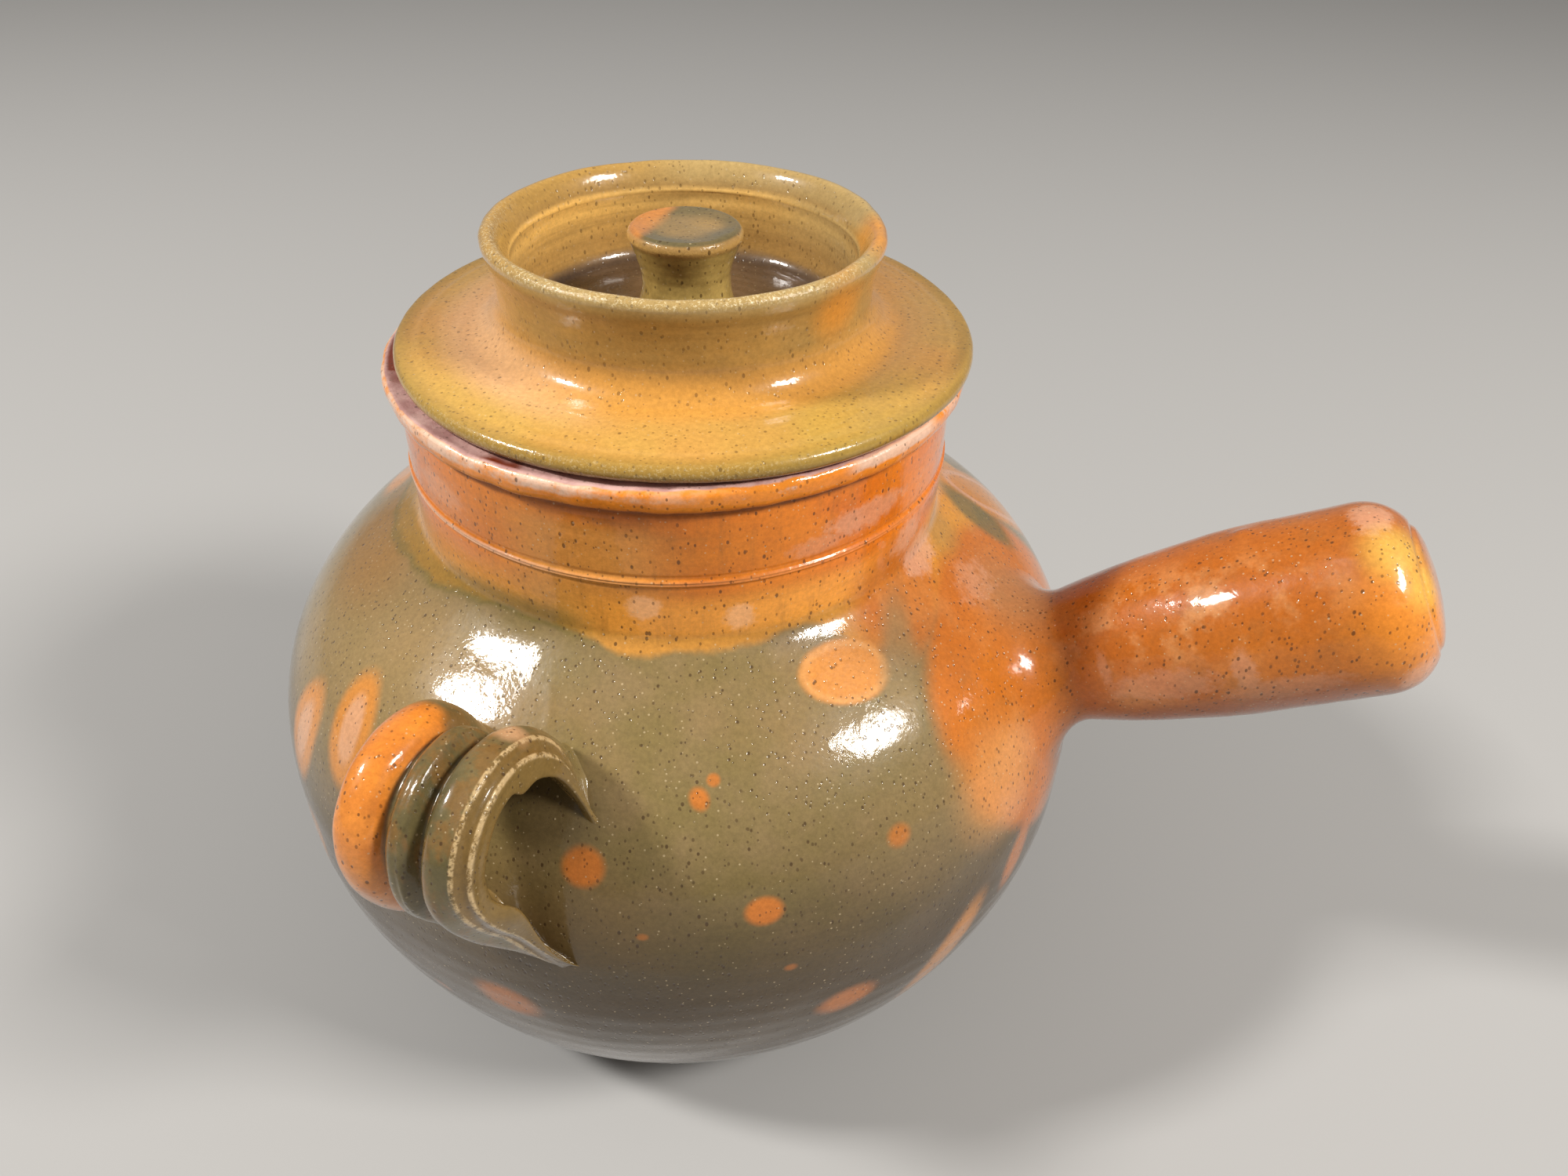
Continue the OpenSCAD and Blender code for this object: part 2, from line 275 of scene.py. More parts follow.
def make_pot_body():
    turn = turn_steps(500, -95, 26, 2.0)
    a = np.radians(np.linspace(0, 90, 8))
    low = BASE_ROUND * (1 - np.cos(a))
    cut = BASE_ROUND - np.sqrt(np.maximum(BASE_ROUND ** 2 - (BASE_ROUND - low) ** 2, 0))
    outside_z = np.concatenate([np.linspace(5, 146, 112), np.linspace(147, 182.6, 52), np.linspace(183, 188.6, 34),
                                np.linspace(189.4, CREASE_Z - 0.1, 24)])
    rows = [np.array([[r, 0.0] for r in (20, 45, 65, 76)])]
    rows.append(np.stack([pot_r(low) - cut, low], -1))
    off = np.abs(outside_z - LINE_Z)
    band = 0.62 * np.exp(-(off / 0.85) ** 4) - 0.22 * np.exp(-(off / 0.26) ** 2)
    groove = 0.22 * np.exp(-((outside_z - LINE_Z - 1.7) / 0.6) ** 2) + 0.15 * np.exp(-((outside_z - LINE_Z + 1.7) / 0.6) ** 2)
    groove += 0.6 * smooth(outside_z, CREASE_Z - 2.6, CREASE_Z - 0.2)
    rows.append(np.stack([pot_r(outside_z) + band - groove, outside_z], -1))
    # Bead under the rim's edge, its rounded edge, the flat top and the rounded mouth
    n_bead, n_round, n_top, n_mouth = 14, 12, 6, 8
    under = np.radians(np.linspace(88, 5, n_bead))
    edge_z = POT_H - RIM_ROUND
    rows.append(np.stack([NECK_R + RIM_OUT * np.cos(under) ** 0.8, edge_z - (edge_z - CREASE_Z) * np.sin(under)], -1))
    rows.append(arc(RIM_R - RIM_ROUND, edge_z, RIM_ROUND, 0, 90, n_round))
    rows.append(np.array([[r, POT_H - 0.1] for r in np.linspace(RIM_R - RIM_ROUND - 0.8, MOUTH_R + MOUTH_ROUND + 0.6, n_top)]))
    rows.append(arc(MOUTH_R + MOUTH_ROUND, POT_H - MOUTH_ROUND, MOUTH_ROUND, 90, 180, n_mouth))
    n_rim = n_bead + n_round + n_top + n_mouth
    inside_z = np.concatenate([np.linspace(211.5, 170, 18), np.linspace(167, 12, 46)])
    s = pot_slope(inside_z)
    n = 1 / np.sqrt(1 + s ** 2)
    inner = np.stack([pot_r(inside_z) - WALL * n, inside_z + WALL * s * n], -1)
    inner = inner[inner[:, 1] > FLOOR_T + 2.5]
    inner[:18, 0] = np.minimum(inner[:18, 0], MOUTH_R)
    rows.append(inner)
    corner = inner[-1, 0]
    rows.append(np.array([[corner - 1.2, FLOOR_T + 1.2], [corner - 3.4, FLOOR_T + 0.3], [corner - 7, FLOOR_T]]))
    rows.append(np.array([[r, FLOOR_T] for r in (60, 40, 20)]))
    profile = np.vstack(rows)
    n_base, n_out = 4 + 8, len(outside_z)
    r, z = profile[:, 0][:, None], profile[:, 1][:, None]
    p = np.stack(np.broadcast_arrays(r * np.cos(turn), r * np.sin(turn), z), -1).astype(float)
    # The normal of the profile, for the unevenness
    d = np.gradient(profile, axis=0)
    n = np.stack([d[:, 1], -d[:, 0]], -1)
    n /= np.linalg.norm(n, axis=1)[:, None]
    n3 = np.stack(np.broadcast_arrays(n[:, 0][:, None] * np.cos(turn), n[:, 0][:, None] * np.sin(turn), n[:, 1][:, None]), -1)
    bumps = belly_bumps(p)
    first_rim = n_base + n_out
    row = np.arange(len(profile))[:, None]
    rim = (row >= first_rim) & (row < first_rim + n_rim)
    inside = row >= first_rim + n_rim
    rough = 0.16 * ripple(p, 9, 21) + 0.22 * ripple(p, 26, 22)
    neck_marks = 0.035 * np.sin(p[..., 2] * 1.35 + 0.5 * np.sin(2 * turn)) * smooth(p[..., 2], 190, 194)
    bumps = np.where(rim, np.minimum(rough - 0.25, 0.0), bumps + neck_marks * (~rim & ~inside))
    rings = 0.25 * np.sin(p[..., 2] / 1.7) * smooth(p[..., 2], 14, 30) * (1 - smooth(p[..., 2], 165, 205))
    bumps = np.where(inside, rings, bumps)
    bumps[:4] = 0
    bumps[4:12] *= np.linspace(0, 1, 8)[:, None]
    p = p + n3 * bumps[..., None]
    wide = np.hypot(p[..., 0], p[..., 1])
    over = np.maximum(wide - (BELLY_R - 0.4), 0)
    p[..., :2] *= (np.minimum(wide, BELLY_R - 0.4) + 0.3 * (1 - np.exp(-over / 0.3)))[..., None] / wide[..., None]
    p[..., 2] = np.clip(p[..., 2], 0, POT_H)
    piece = grid_mesh("pot_body_glazed", p, (0, 0, 0), (0, 0, FLOOR_T))
    face_outwards(piece)
    # Faces of the unglazed rim and the unglazed base
    quads = np.repeat(np.arange(len(profile) - 1), len(turn))
    rim_top = first_rim + n_bead + 4
    slot = np.where((quads >= rim_top) & (quads < first_rim + n_rim - 2), 1, 0)
    slot = np.where(quads < 9, 2, slot)
    slot = np.concatenate([slot, np.full(len(turn), 2), np.zeros(len(turn), int)])
    dress(piece, "pot", ["pot_body"], [glaze_pot, bare_rim, bare_base], slot.tolist())


# Long handle

TILT = math.radians(29)
GRIP_FROM = float(pot_r(129))
GRIP_L, GRIP_R, GRIP_ROOT_R, GRIP_ROUND = 104.5, 26.5, 18.75, 17.0
AXIS = np.array([math.cos(TILT), 0, math.sin(TILT)])
SIDE = np.array([0.0, 1.0, 0.0])
TOP = np.cross(AXIS, SIDE)
ROOT = np.array([GRIP_FROM, 0, 129.0])


def grip_r(s):
    x = np.clip(s / (GRIP_L * 0.68), 0, 1)
    return GRIP_R - (GRIP_R - GRIP_ROOT_R) * (1 - x) ** 2


def make_long_handle():
    n = 176
    phi = np.linspace(-math.pi, math.pi, n + 1)[:-1]
    out = np.cos(phi)[:, None] * SIDE + np.sin(phi)[:, None] * TOP

    def place(rho, s):
        """Points at a distance from the axis and along it, one row of values for each phi."""
        return ROOT + s[..., None] * AXIS + rho[..., None] * out

    # End, from its middle outwards: a slightly domed disc, a soft crease and the rounded edge
    rho = np.concatenate([np.linspace(1.5, 12, 8), np.linspace(13, 19, 14)])
    side = GRIP_R - GRIP_ROUND
    s_end = GRIP_L - 0.9 - np.where(rho > side, GRIP_ROUND - np.sqrt(GRIP_ROUND ** 2 - (np.maximum(rho, side) - side) ** 2), 0)
    s_end = s_end + 0.9 * (1 - smooth(rho, 2, 14)) - 0.50 * np.exp(-((rho - 17.4) / 0.75) ** 2)
    rows = [place(np.full(n, a), np.full(n, b)) for a, b in zip(rho, s_end)]
    ang = np.radians(np.linspace(np.degrees(np.arccos((19.6 - side) / GRIP_ROUND)), 2, 16))
    for t in ang:
        r = side + GRIP_ROUND * math.cos(t)
        s = GRIP_L - GRIP_ROUND + GRIP_ROUND * math.sin(t) - 0.9 * float(smooth(math.sin(t), 0.3, 0.93))
        rows.append(place(np.full(n, r), np.full(n, s)))
    # Where the handle's wall would meet the belly, for each phi
    rise = 10 + 3.0 * np.cos(phi - math.radians(150))
    reach = 11 + 5.0 * np.cos(phi - math.radians(150))

    def meet(rho):
        lo, hi = np.full(n, -60.0), np.full(n, 60.0)
        for _ in range(44):
            mid = (lo + hi) / 2
            inside = pot_gap(place(rho, mid)) < 0
            lo, hi = np.where(inside, mid, lo), np.where(inside, hi, mid)
        return (lo + hi) / 2

    wall_r = np.full(n, GRIP_ROOT_R)
    for _ in range(4):
        wall_r = grip_r(np.maximum(meet(wall_r) + rise, 0))
    s_foot = meet(wall_r)
    s_top = s_foot + rise
    steps = 66
    top = GRIP_L - GRIP_ROUND - 0.5
    for i in range(steps):
        s = top + (s_top - top) * (i / (steps - 1))
        rows.append(place(grip_r(s), s))
    r0 = grip_r(s_top)
    r3 = r0 + reach
    s3 = meet(r3)
    slope = (meet(r3 + 0.5) - meet(r3 - 0.5)) / 1.0
    for t in np.linspace(0, 1, 18)[1:]:
        b0, b1, b2, b3 = (1 - t) ** 3, 3 * t * (1 - t) ** 2, 3 * t * t * (1 - t), t ** 3
        r1, s1 = r0 - 0.1 * rise, s_top - 0.62 * rise
        r2, s2 = r3 - 0.55 * reach, s3 - 0.55 * reach * slope
        s = b0 * s_top + b1 * s1 + b2 * s2 + b3 * s3
        r = b0 * r0 + b1 * r1 + b2 * r2 + b3 * r3
        rows.append(place(r, s - 0.12 * t ** 6))
    rows.append(place(r3 + 1.5, meet(r3 + 1.5) - 1.0))
    rows.append(place(r3 - 3.0, meet(r3 - 3.0) - 3.0))
    p = np.array(rows)
    axis_s = (p - ROOT) @ AXIS
    uneven = 0.22 * ripple(p, 42, 31) + 0.13 * ripple(p, 19, 33) + 0.03 * ripple(p, 8, 32)
    uneven += 0.8 * np.exp(-(np.linalg.norm(p - np.array([161, 4, 182]), axis=-1) / 3.2) ** 2)
    uneven += 0.45 * stroke(p, (153, -22, 160.5), (164, -25.5, 155), 0.9)
    uneven -= 0.5 * np.exp(-(np.linalg.norm(p - np.array([152, -21, 161]), axis=-1) / 1.6) ** 2)
    uneven += 0.30 * stroke(p, (176, -12, 189), (188, -14, 192), 0.8)
    uneven -= 0.35 * np.exp(-(np.linalg.norm(p - np.array([197, -21, 186]), axis=-1) / 1.0) ** 2)
    uneven = uneven * smooth(axis_s, 8, 25) - 0.3 * smooth(axis_s, 40, 80)
    radial = p - ROOT - axis_s[..., None] * AXIS
    radial /= np.maximum(np.linalg.norm(radial, axis=-1), 1e-6)[..., None]
    far = smooth(np.linalg.norm(p - ROOT - axis_s[..., None] * AXIS, axis=-1), 10, 17)
    p = p + radial * (uneven * far)[..., None]
    piece = grid_mesh("long_handle_glazed", p, ROOT + (GRIP_L + 0.0) * AXIS, None)
    face_outwards(piece)
    dress(piece, "pot", ["long_handle"], [glaze_pot])


# Loop handle

LOOP_TURN = math.radians(-94)
LOOP_TOP_Z, LOOP_LOW_Z, LOOP_REACH, LOOP_RISE, LOOP_W = 148.0, 111.0, 46.0, 40.0, 34.0
LOOP_POINTS = np.array([
    [float(pot_r(LOOP_TOP_Z)) - 3, LOOP_TOP_Z],
    [float(pot_r(LOOP_TOP_Z)) + LOOP_REACH * 0.47, LOOP_TOP_Z + LOOP_RISE],
    [float(pot_r(LOOP_LOW_Z)) + LOOP_REACH, LOOP_LOW_Z + LOOP_RISE],
    [float(pot_r(LOOP_LOW_Z)) - 3, LOOP_LOW_Z]])

# Cross-section of the strap: across it, out from its middle, then the masks for orange, worn edge and inner face
STRAP = [
    (-16.9, -2.6, 0.9, 0.2, 0.2), (-17.2, -0.6, 1, 0.4, 0), (-16.8, 1.6, 1, 0.3, 0), (-15.4, 3.6, 1, 0, 0),
    (-13.0, 4.8, 1, 0, 0), (-10.4, 4.6, 1, 0, 0), (-8.2, 3.2, 1, 0, 0), (-6.7, 1.2, 0.8, 0, 0),
    (-5.9, 0.4, 0.4, 0, 0), (-5.2, 0.9, 0.3, 0, 0), (-4.2, 2.7, 0.35, 0.1, 0), (-3.0, 3.9, 0.2, 0.35, 0),
    (-1.6, 4.3, 0, 0.15, 0), (-0.5, 4.1, 0, 0.1, 0), (0.1, 4.3, 0, 0.4, 0), (1.2, 3.3, 0, 0.1, 0), (2.6, 1.2, 0, 0, 0),
    (3.6, 0.1, 0, 0, 0), (4.5, 0.6, 0, 0.15, 0), (5.4, 2.6, 0, 0.1, 0), (6.9, 4.4, 0, 0, 0),
    (8.8, 5.0, 0, 0, 0), (11.0, 4.8, 0, 0, 0), (12.9, 4.6, 0, 0.3, 0.1), (13.9, 4.4, 0.1, 1, 0.4),
    (14.5, 3.6, 0.1, 0.4, 0.6), (15.2, 2.5, 0, 0, 0.65), (16.0, 1.9, 0, 0.3, 0.65), (16.7, 1.5, 0.1, 1, 0.8),
    (17.1, 0.5, 0.1, 0.5, 1), (17.2, -1.5, 0, 0, 1), (17.4, -3.2, 0, 0, 1), (17.2, -4.5, 0, 0.3, 1), (15.6, -5.3, 0, 0.1, 1),
    (12.0, -5.3, 0, 0, 0.9), (7.0, -5.0, 0, 0, 0.9), (0.0, -5.0, 0, 0, 0.8), (-7.0, -4.9, 0.1, 0, 0.7), (-13.0, -4.5, 0.3, 0, 0.5),
    (-15.8, -3.8, 0.6, 0, 0.3)]


def closed_curve(points, n):
    """A smooth closed curve through the points, with evenly spaced steps."""
    q = np.array(points, float)
    m = len(q)
    t = np.linspace(0, m, 24 * m + 1)[:-1]
    i = t.astype(int)
    f = (t - i)[:, None]
    a, b, c, d = q[(i - 1) % m], q[i % m], q[(i + 1) % m], q[(i + 2) % m]
    out = 0.5 * ((2 * b) + (c - a) * f + (2 * a - 5 * b + 4 * c - d) * f ** 2 + (3 * b - a - 3 * c + d) * f ** 3)
    step = np.linalg.norm(np.diff(np.vstack([out[:, :2], out[:1, :2]]), axis=0), axis=1)
    total = np.concatenate([[0], np.cumsum(step)])
    want = np.linspace(0, total[-1], n + 1)[:-1]
    wrapped = np.vstack([out, out[:1]])
    return np.stack([np.interp(want, total, wrapped[:, k]) for k in range(q.shape[1])], -1)


def loop_at(u):
    u = np.asarray(u, float)[..., None]
    a, b, c, d = LOOP_POINTS
    return (1 - u) ** 3 * a + 3 * (1 - u) ** 2 * u * b + 3 * (1 - u) * u ** 2 * c + u ** 3 * d


def bell(x, at, width):
    return np.exp(-((x - at) / width) ** 2)


def strap_place(x, h, u):
    """Point of the strap, from the place across, the height over its middle line and the place along."""
    u = np.asarray(u, float)
    near_top, near_low = 1 - smooth(u, -0.02, 0.20), smooth(u, 0.80, 1.0)
    outer = smooth(h, -3.5, -0.5)
    # At the top the first ridge ends early and the middle one sinks into a pressed hollow
    x0, h0 = x, h
    h = h - 5.5 * outer * smooth(-x, -3, 6) * (1 - smooth(u, -0.04, 0.19))
    h = h - 7.2 * outer * bell(x, -0.8, 4.6) * (1 - smooth(u, 0.03, 0.27))
    h = h - 1.2 * outer * bell(x, 8.5, 3.5) * (1 - smooth(u, 0.0, 0.2))
    x = x + 2.0 * outer * bell(x, -5.5, 5.5) * (1 - smooth(u, 0.06, 0.42))
    x = x - 1.9 * smooth(-x0, 9, 16) * (1 - np.abs(2 * u - 1) ** 3)
    # A small lip inside the right edge, which thins to a pointed flap at both roots
    lip = bell(u, 0.250, 0.046) * smooth(x0, 13, 16.5) * (1 - smooth(h, -4, -0.5))
    h = h - 2.7 * lip
    flap = smooth(x0, 8, 17.4)
    h = h + (0.3 - h) * 0.8 * flap * near_top
    h = h - (h + 1.0) * outer * 0.72 * smooth(x0, 9, 15) * smooth(u, 0.58, 0.92)
    h = h + (-0.4 - h) * 0.75 * smooth(x0, 13.5, 17.4) * near_low
    h = h + 2.0 * (1 - outer) * bell(x0, 11, 6.0) * smooth(u, 0.6, 0.9)
    c = loop_at(u)
    d = loop_at(u + 0.01) - loop_at(u - 0.01)
    normal = np.stack([-d[..., 1], d[..., 0]], -1) / np.linalg.norm(d, axis=-1)[..., None]
    press = np.abs(2 * u - 1) ** 5
    part = x / LOOP_W
    right = np.clip(x, 0, 14) / 17
    tip_low = smooth(x0, 8, 15) * smooth(u, 0.88, 1.0)
    tip_top = smooth(x0, 8, 15) * (1 - smooth(u, 0.0, 0.12))
    fan = smooth(x0, 14, 17) * (1 - smooth(h0, -4, 1)) * bell(u, 0.86, 0.06)
    y = x + (part + 0.5) * 10 * press + 1.5 * tip_low + 2.0 * tip_top + 2.0 * fan
    drag = 8 + 5 * np.clip(u, 0, 1)
    drop = drag * right ** 2 * press + 7.0 * tip_low + 3.0 * tip_top - 4.5 * fan + 5.0 * (1 - smooth(h0, -4.5, -2)) * bell(x0, 8, 6.5) * smooth(u, 0.70, 0.92)
    drop = drop + 5.0 * smooth(x0, 12.5, 17.4) * (1 - smooth(u, 0.3, 0.6)) * press
    c = c + h[..., None] * normal
    lean = (pot_r(c[..., 1] - drop) - pot_r(c[..., 1])) * press
    wrap = y ** 2 / (2 * BELLY_R) * press
    radius, z = c[..., 0] + lean - wrap, c[..., 1] - drop
    co, si = math.cos(LOOP_TURN), math.sin(LOOP_TURN)
    return np.stack([co * radius - si * y, si * radius + co * y, z], -1)


def make_loop_handle():
    n = 150
    shape = closed_curve(STRAP, n)
    x, h = shape[:, 0], shape[:, 1]
    # Where each line along the strap meets the belly, at its upper and lower root
    ends = []
    for a, b in ((-0.25, 0.45), (1.25, 0.55)):
        grid = np.linspace(a, b, 141)
        gaps = np.array([pot_gap(strap_place(x, h, np.full(n, u))) for u in grid])
        last = len(grid) - 1 - np.argmax(gaps[::-1] < 0, axis=0)
        last = np.where((gaps < 0).any(0), last, 0)
        lo, hi = grid[last], grid[np.minimum(last + 1, len(grid) - 1)]
        for _ in range(30):
            mid = (lo + hi) / 2
            inside = pot_gap(strap_place(x, h, mid)) < 0
            lo, hi = np.where(inside, mid, lo), np.where(inside, hi, mid)
        ends.append((lo + hi) / 2)
    top, low = ends
    # Outward direction of the strap's surface in its cross-section
    dx, dh = np.gradient(np.concatenate([x[-3:], x, x[:3]]))[3:-3], np.gradient(np.concatenate([h[-3:], h, h[:3]]))[3:-3]
    nx, nh = -dh, dx
    sign = np.sign((nx * x + nh * h).sum())
    nx, nh = sign * nx / np.hypot(dx, dh), sign * nh / np.hypot(dx, dh)

    def fillet(u0, step, reach):
        """Rows that turn the strap's surface onto the belly."""
        edge = strap_place(x, h, u0)
        lift = reach / 60.0
        start = strap_place(x, h, u0 - step * lift)
        out = strap_place(x + nx * 0.5, h + nh * 0.5, u0) - edge
        normal = pot_normal(edge)
        along = out - (out * normal).sum(-1)[:, None] * normal
        along /= np.maximum(np.linalg.norm(along, axis=-1), 1e-6)[:, None]
        finish = edge + along * reach[:, None]
        for _ in range(6):
            finish = finish - pot_gap(finish)[:, None] * pot_normal(finish)
        rows = []
        for t in np.linspace(0, 1, 10)[1:]:
            b0, b1, b2, b3 = (1 - t) ** 3, 3 * t * (1 - t) ** 2, 3 * t * t * (1 - t), t ** 3
            mid_1 = start + 0.6 * (edge - start)
            mid_2 = finish + 0.6 * (edge - finish)
            q = b0 * start + b1 * mid_1 + b2 * mid_2 + b3 * finish
            gap = pot_gap(q)
            q = q + np.maximum(0.05 * (1 - t) - gap, 0)[:, None] * pot_normal(q) * (t < 0.99)
            rows.append(q - 0.06 * t ** 4 * pot_normal(q))
        rows.append(finish - 1.2 * pot_normal(finish))
        rows.append(edge - 4.0 * pot_normal(edge))
        return lift, rows

    outer = smooth(h, -3.5, 2.5)
    reach_top = 0.7 + outer * (0.3 + 4.0 * np.exp(-((x + 3.0) / 4.0) ** 2))
    reach_low = 0.9 + 1.3 * outer * (1 - smooth(x, 8, 14))
    lift_top, rows_top = fillet(top, -1.0, reach_top)
    lift_low, rows_low = fillet(low, 1.0, reach_low)
    u_top, u_low = top + lift_top, low - lift_low
    rows = rows_top[::-1]
    steps = 110
    for i in range(steps):
        rows.append(strap_place(x, h, u_top + (u_low - u_top) * (i / (steps - 1))))
    rows += rows_low
    p = np.array(rows)
    uneven = 0.16 * ripple(p, 19, 41) + 0.05 * ripple(p, 7, 42)
    # The unevenness fades out at the roots
    fade = np.zeros(len(p))
    m = len(rows_top)
    fade[m:m + steps] = smooth(np.arange(steps), 0, 12) * (1 - smooth(np.arange(steps), steps - 13, steps - 1))
    d_row = np.gradient(p, axis=0)
    d_col = (np.roll(p, -1, axis=1) - np.roll(p, 1, axis=1))
    normal = np.cross(d_row, d_col)
    normal /= np.maximum(np.linalg.norm(normal, axis=-1), 1e-9)[..., None]
    middle = p[m + steps // 2]
    if ((normal[m + steps // 2] * (middle - middle.mean(0))).sum()) < 0:
        normal = -normal
    p = p + normal * (uneven * fade[:, None])[..., None]
    piece = grid_mesh("loop_handle_glazed", p, p[0].mean(0), p[-1].mean(0))
    face_outwards(piece)
    rowf = np.arange(len(p))
    from_top, from_low = smooth(rowf, m - 4, m + 11), 1 - smooth(rowf, m + steps - 7, m + steps + 4)
    tips = [[0, 0, 0]] * 2
    masks = np.tile(shape[:, 2:5], (len(p), 1, 1))
    masks[..., 0] *= (smooth(rowf, m + 9, m + 27) * (0.3 + 0.7 * from_low))[:, None]
    masks[..., 1] *= (0.25 + 0.75 * from_top * from_low)[:, None]
    paint_masks(piece, "strap_masks", np.clip(np.vstack([masks.reshape(-1, 3), tips]), 0, 1))
    root = 1 - smooth(rowf, m - 1, m + 9) * (1 - smooth(rowf, m + steps - 5, m + steps + 3))
    root = np.repeat(root, n)[:, None] * np.ones(3)
    paint_masks(piece, "strap_roots", np.vstack([root, tips]))
    dress(piece, "pot", ["loop_handle"], [glaze_loop])


# Lid

LID_Z, LID_R, LID_T, LID_CROWN = 214.8, 80.0, 5.2, 1.0
WELL_Z = LID_Z + LID_T
RING_OUT, RING_R, RING_FLARE, RING_T, RING_TOP = 54.2, 51.2, 3.0, 5.0, 248.3
FLANGE_R = MOUTH_R - 3.4
SHIFT = np.array([2.5, 1.0, 0.0])
RING_FOOT, WELL_ROUND = 9.0, 6.0
LIP_IN, LIP_DOWN = 5.4, 8.0
KNOB_R, KNOB_WAIST, KNOB_FOOT = 15.7, 12.3, 17.0


def make_lid():
    n = 400
    turn = np.linspace(-math.pi, math.pi, n + 1)[:-1]
    foot_z = WELL_Z + LID_CROWN + RING_FOOT
    wall = np.linspace(0, 1, 16)[1:]
    well_r = RING_R - RING_T
    bore_z = np.concatenate([RING_TOP - LIP_DOWN - np.linspace(0.3, 4, 9), np.linspace(RING_TOP - LIP_DOWN - 5, WELL_Z + WELL_ROUND + 1, 10)])
    lip = np.linspace(0.04, 1, 22)
    rows = [
        np.array([[r, LID_Z] for r in (15, 30, 45, 56)]),
        np.array([[FLANGE_R - a, LID_Z - b] for a, b in (
            (6.3, 0.2), (5.6, 1.0), (5.5, 5.0), (5.4, 9.0), (5.0, 11.2), (4.0, 11.9), (2.0, 12.0), (0.7, 11.5), (0.1, 10.2),
            (0.0, 7.0), (0.0, 2.0), (-0.3, 0.4), (-1.0, 0.0))]),
        np.array([[r, LID_Z] for r in (71, 74, 76)]),
        arc(LID_R - LID_T / 2, LID_Z + LID_T / 2, LID_T / 2, -90, 62, 18),
        np.stack([np.linspace(77.9, 61.0, 26), WELL_Z - 0.35 + (LID_CROWN + 0.35) * smooth(np.linspace(77.9, 61.0, 26), 80, 62)], -1),
        arc(RING_R + RING_FOOT, foot_z, RING_FOOT, 270, 180, 16),
        np.stack([RING_R + (RING_FLARE - 0.5) * wall ** 2.5, foot_z + (RING_TOP - 5.0 - foot_z) * wall], -1),
        np.vstack([arc(RING_OUT - 2.5, RING_TOP - 2.5, 2.5, -20, 90, 18),
                   np.stack([RING_OUT - 2.5 - LIP_IN * lip ** 0.8, RING_TOP - LIP_DOWN * lip ** 1.6], -1)]),
        np.stack([well_r + 0.15 + 0.25 * bell(bore_z, RING_TOP - LIP_DOWN - 2.2, 1.8), bore_z], -1),
        arc(well_r - WELL_ROUND, WELL_Z + WELL_ROUND, WELL_ROUND, 0, -90, 14),
        np.array([[r, WELL_Z] for r in np.linspace(38.5, 8, 30)]),
    ]
    profile = np.vstack(rows)
    counts = np.cumsum([len(q) for q in rows])
    r, z = profile[:, 0], profile[:, 1]
    d = np.gradient(profile, axis=0)
    nrm = np.stack([d[:, 1], -d[:, 0]], -1)
    nrm /= np.maximum(np.linalg.norm(nrm, axis=1), 1e-9)[:, None]
    row = np.arange(len(profile))
    plate = (row >= counts[3]) & (row < counts[4])
    floor = row >= counts[9]
    base = np.zeros(len(profile))
    base += np.where(plate, 0.035 * np.sin(r * 1.55) * smooth(r, 60, 64), 0)
    base += np.where(plate, -0.16 * np.exp(-((r - 74.6) / 1.1) ** 2) + 0.10 * np.exp(-((r - 72.6) / 1.0) ** 2), 0)
    base += np.where(floor, 0.03 * np.sin(r * 0.95 + 0.6) - 0.1, 0)
    base += np.where((row >= counts[5]) & (row < counts[6]), 0.022 * np.sin(z * 1.9), 0)
    base += np.where((row >= counts[7]) & (row < counts[8]), 0.04 * np.sin(z * 1.1), 0)
    base[:counts[2]] = 0
    p = np.stack(np.broadcast_arrays(r[:, None] * np.cos(turn), r[:, None] * np.sin(turn), z[:, None]), -1).astype(float)
    low = row[:, None] < counts[2]
    bumps = base[:, None] + np.where(low, 0, 0.16 * (ripple(p, 70, 51) - 0.9) + 0.035 * ripple(p, 9, 52))
    on_lip = np.exp(-((row - (counts[6] + 16)) / 13.0) ** 2)[:, None]
    bumps = bumps + on_lip * (0.12 * ripple(p, 13, 53) + 0.10 * ripple(p, 38, 54) - 0.2)
    n3 = np.stack(np.broadcast_arrays(nrm[:, 0][:, None] * np.cos(turn), nrm[:, 0][:, None] * np.sin(turn), nrm[:, 1][:, None]), -1)
    p = p + n3 * bumps[..., None]
    keep = (row >= counts[2]) & (row < counts[4])
    p[keep, :, 2] = np.maximum(p[keep, :, 2], LID_Z)
    p = p + SHIFT
    piece = grid_mesh("lid_glazed", p, np.array([0, 0, LID_Z]) + SHIFT, np.array([0, 0, WELL_Z - 0.1]) + SHIFT)
    face_outwards(piece)
    quads = np.repeat(np.arange(len(profile) - 1), n)
    slot = np.where(quads < counts[2] + 3, 1, 0)
    slot = np.concatenate([slot, np.full(n, 1), np.zeros(n, int)])
    dress(piece, "lid", ["lid"], [glaze_lid, bare_base], slot.tolist())


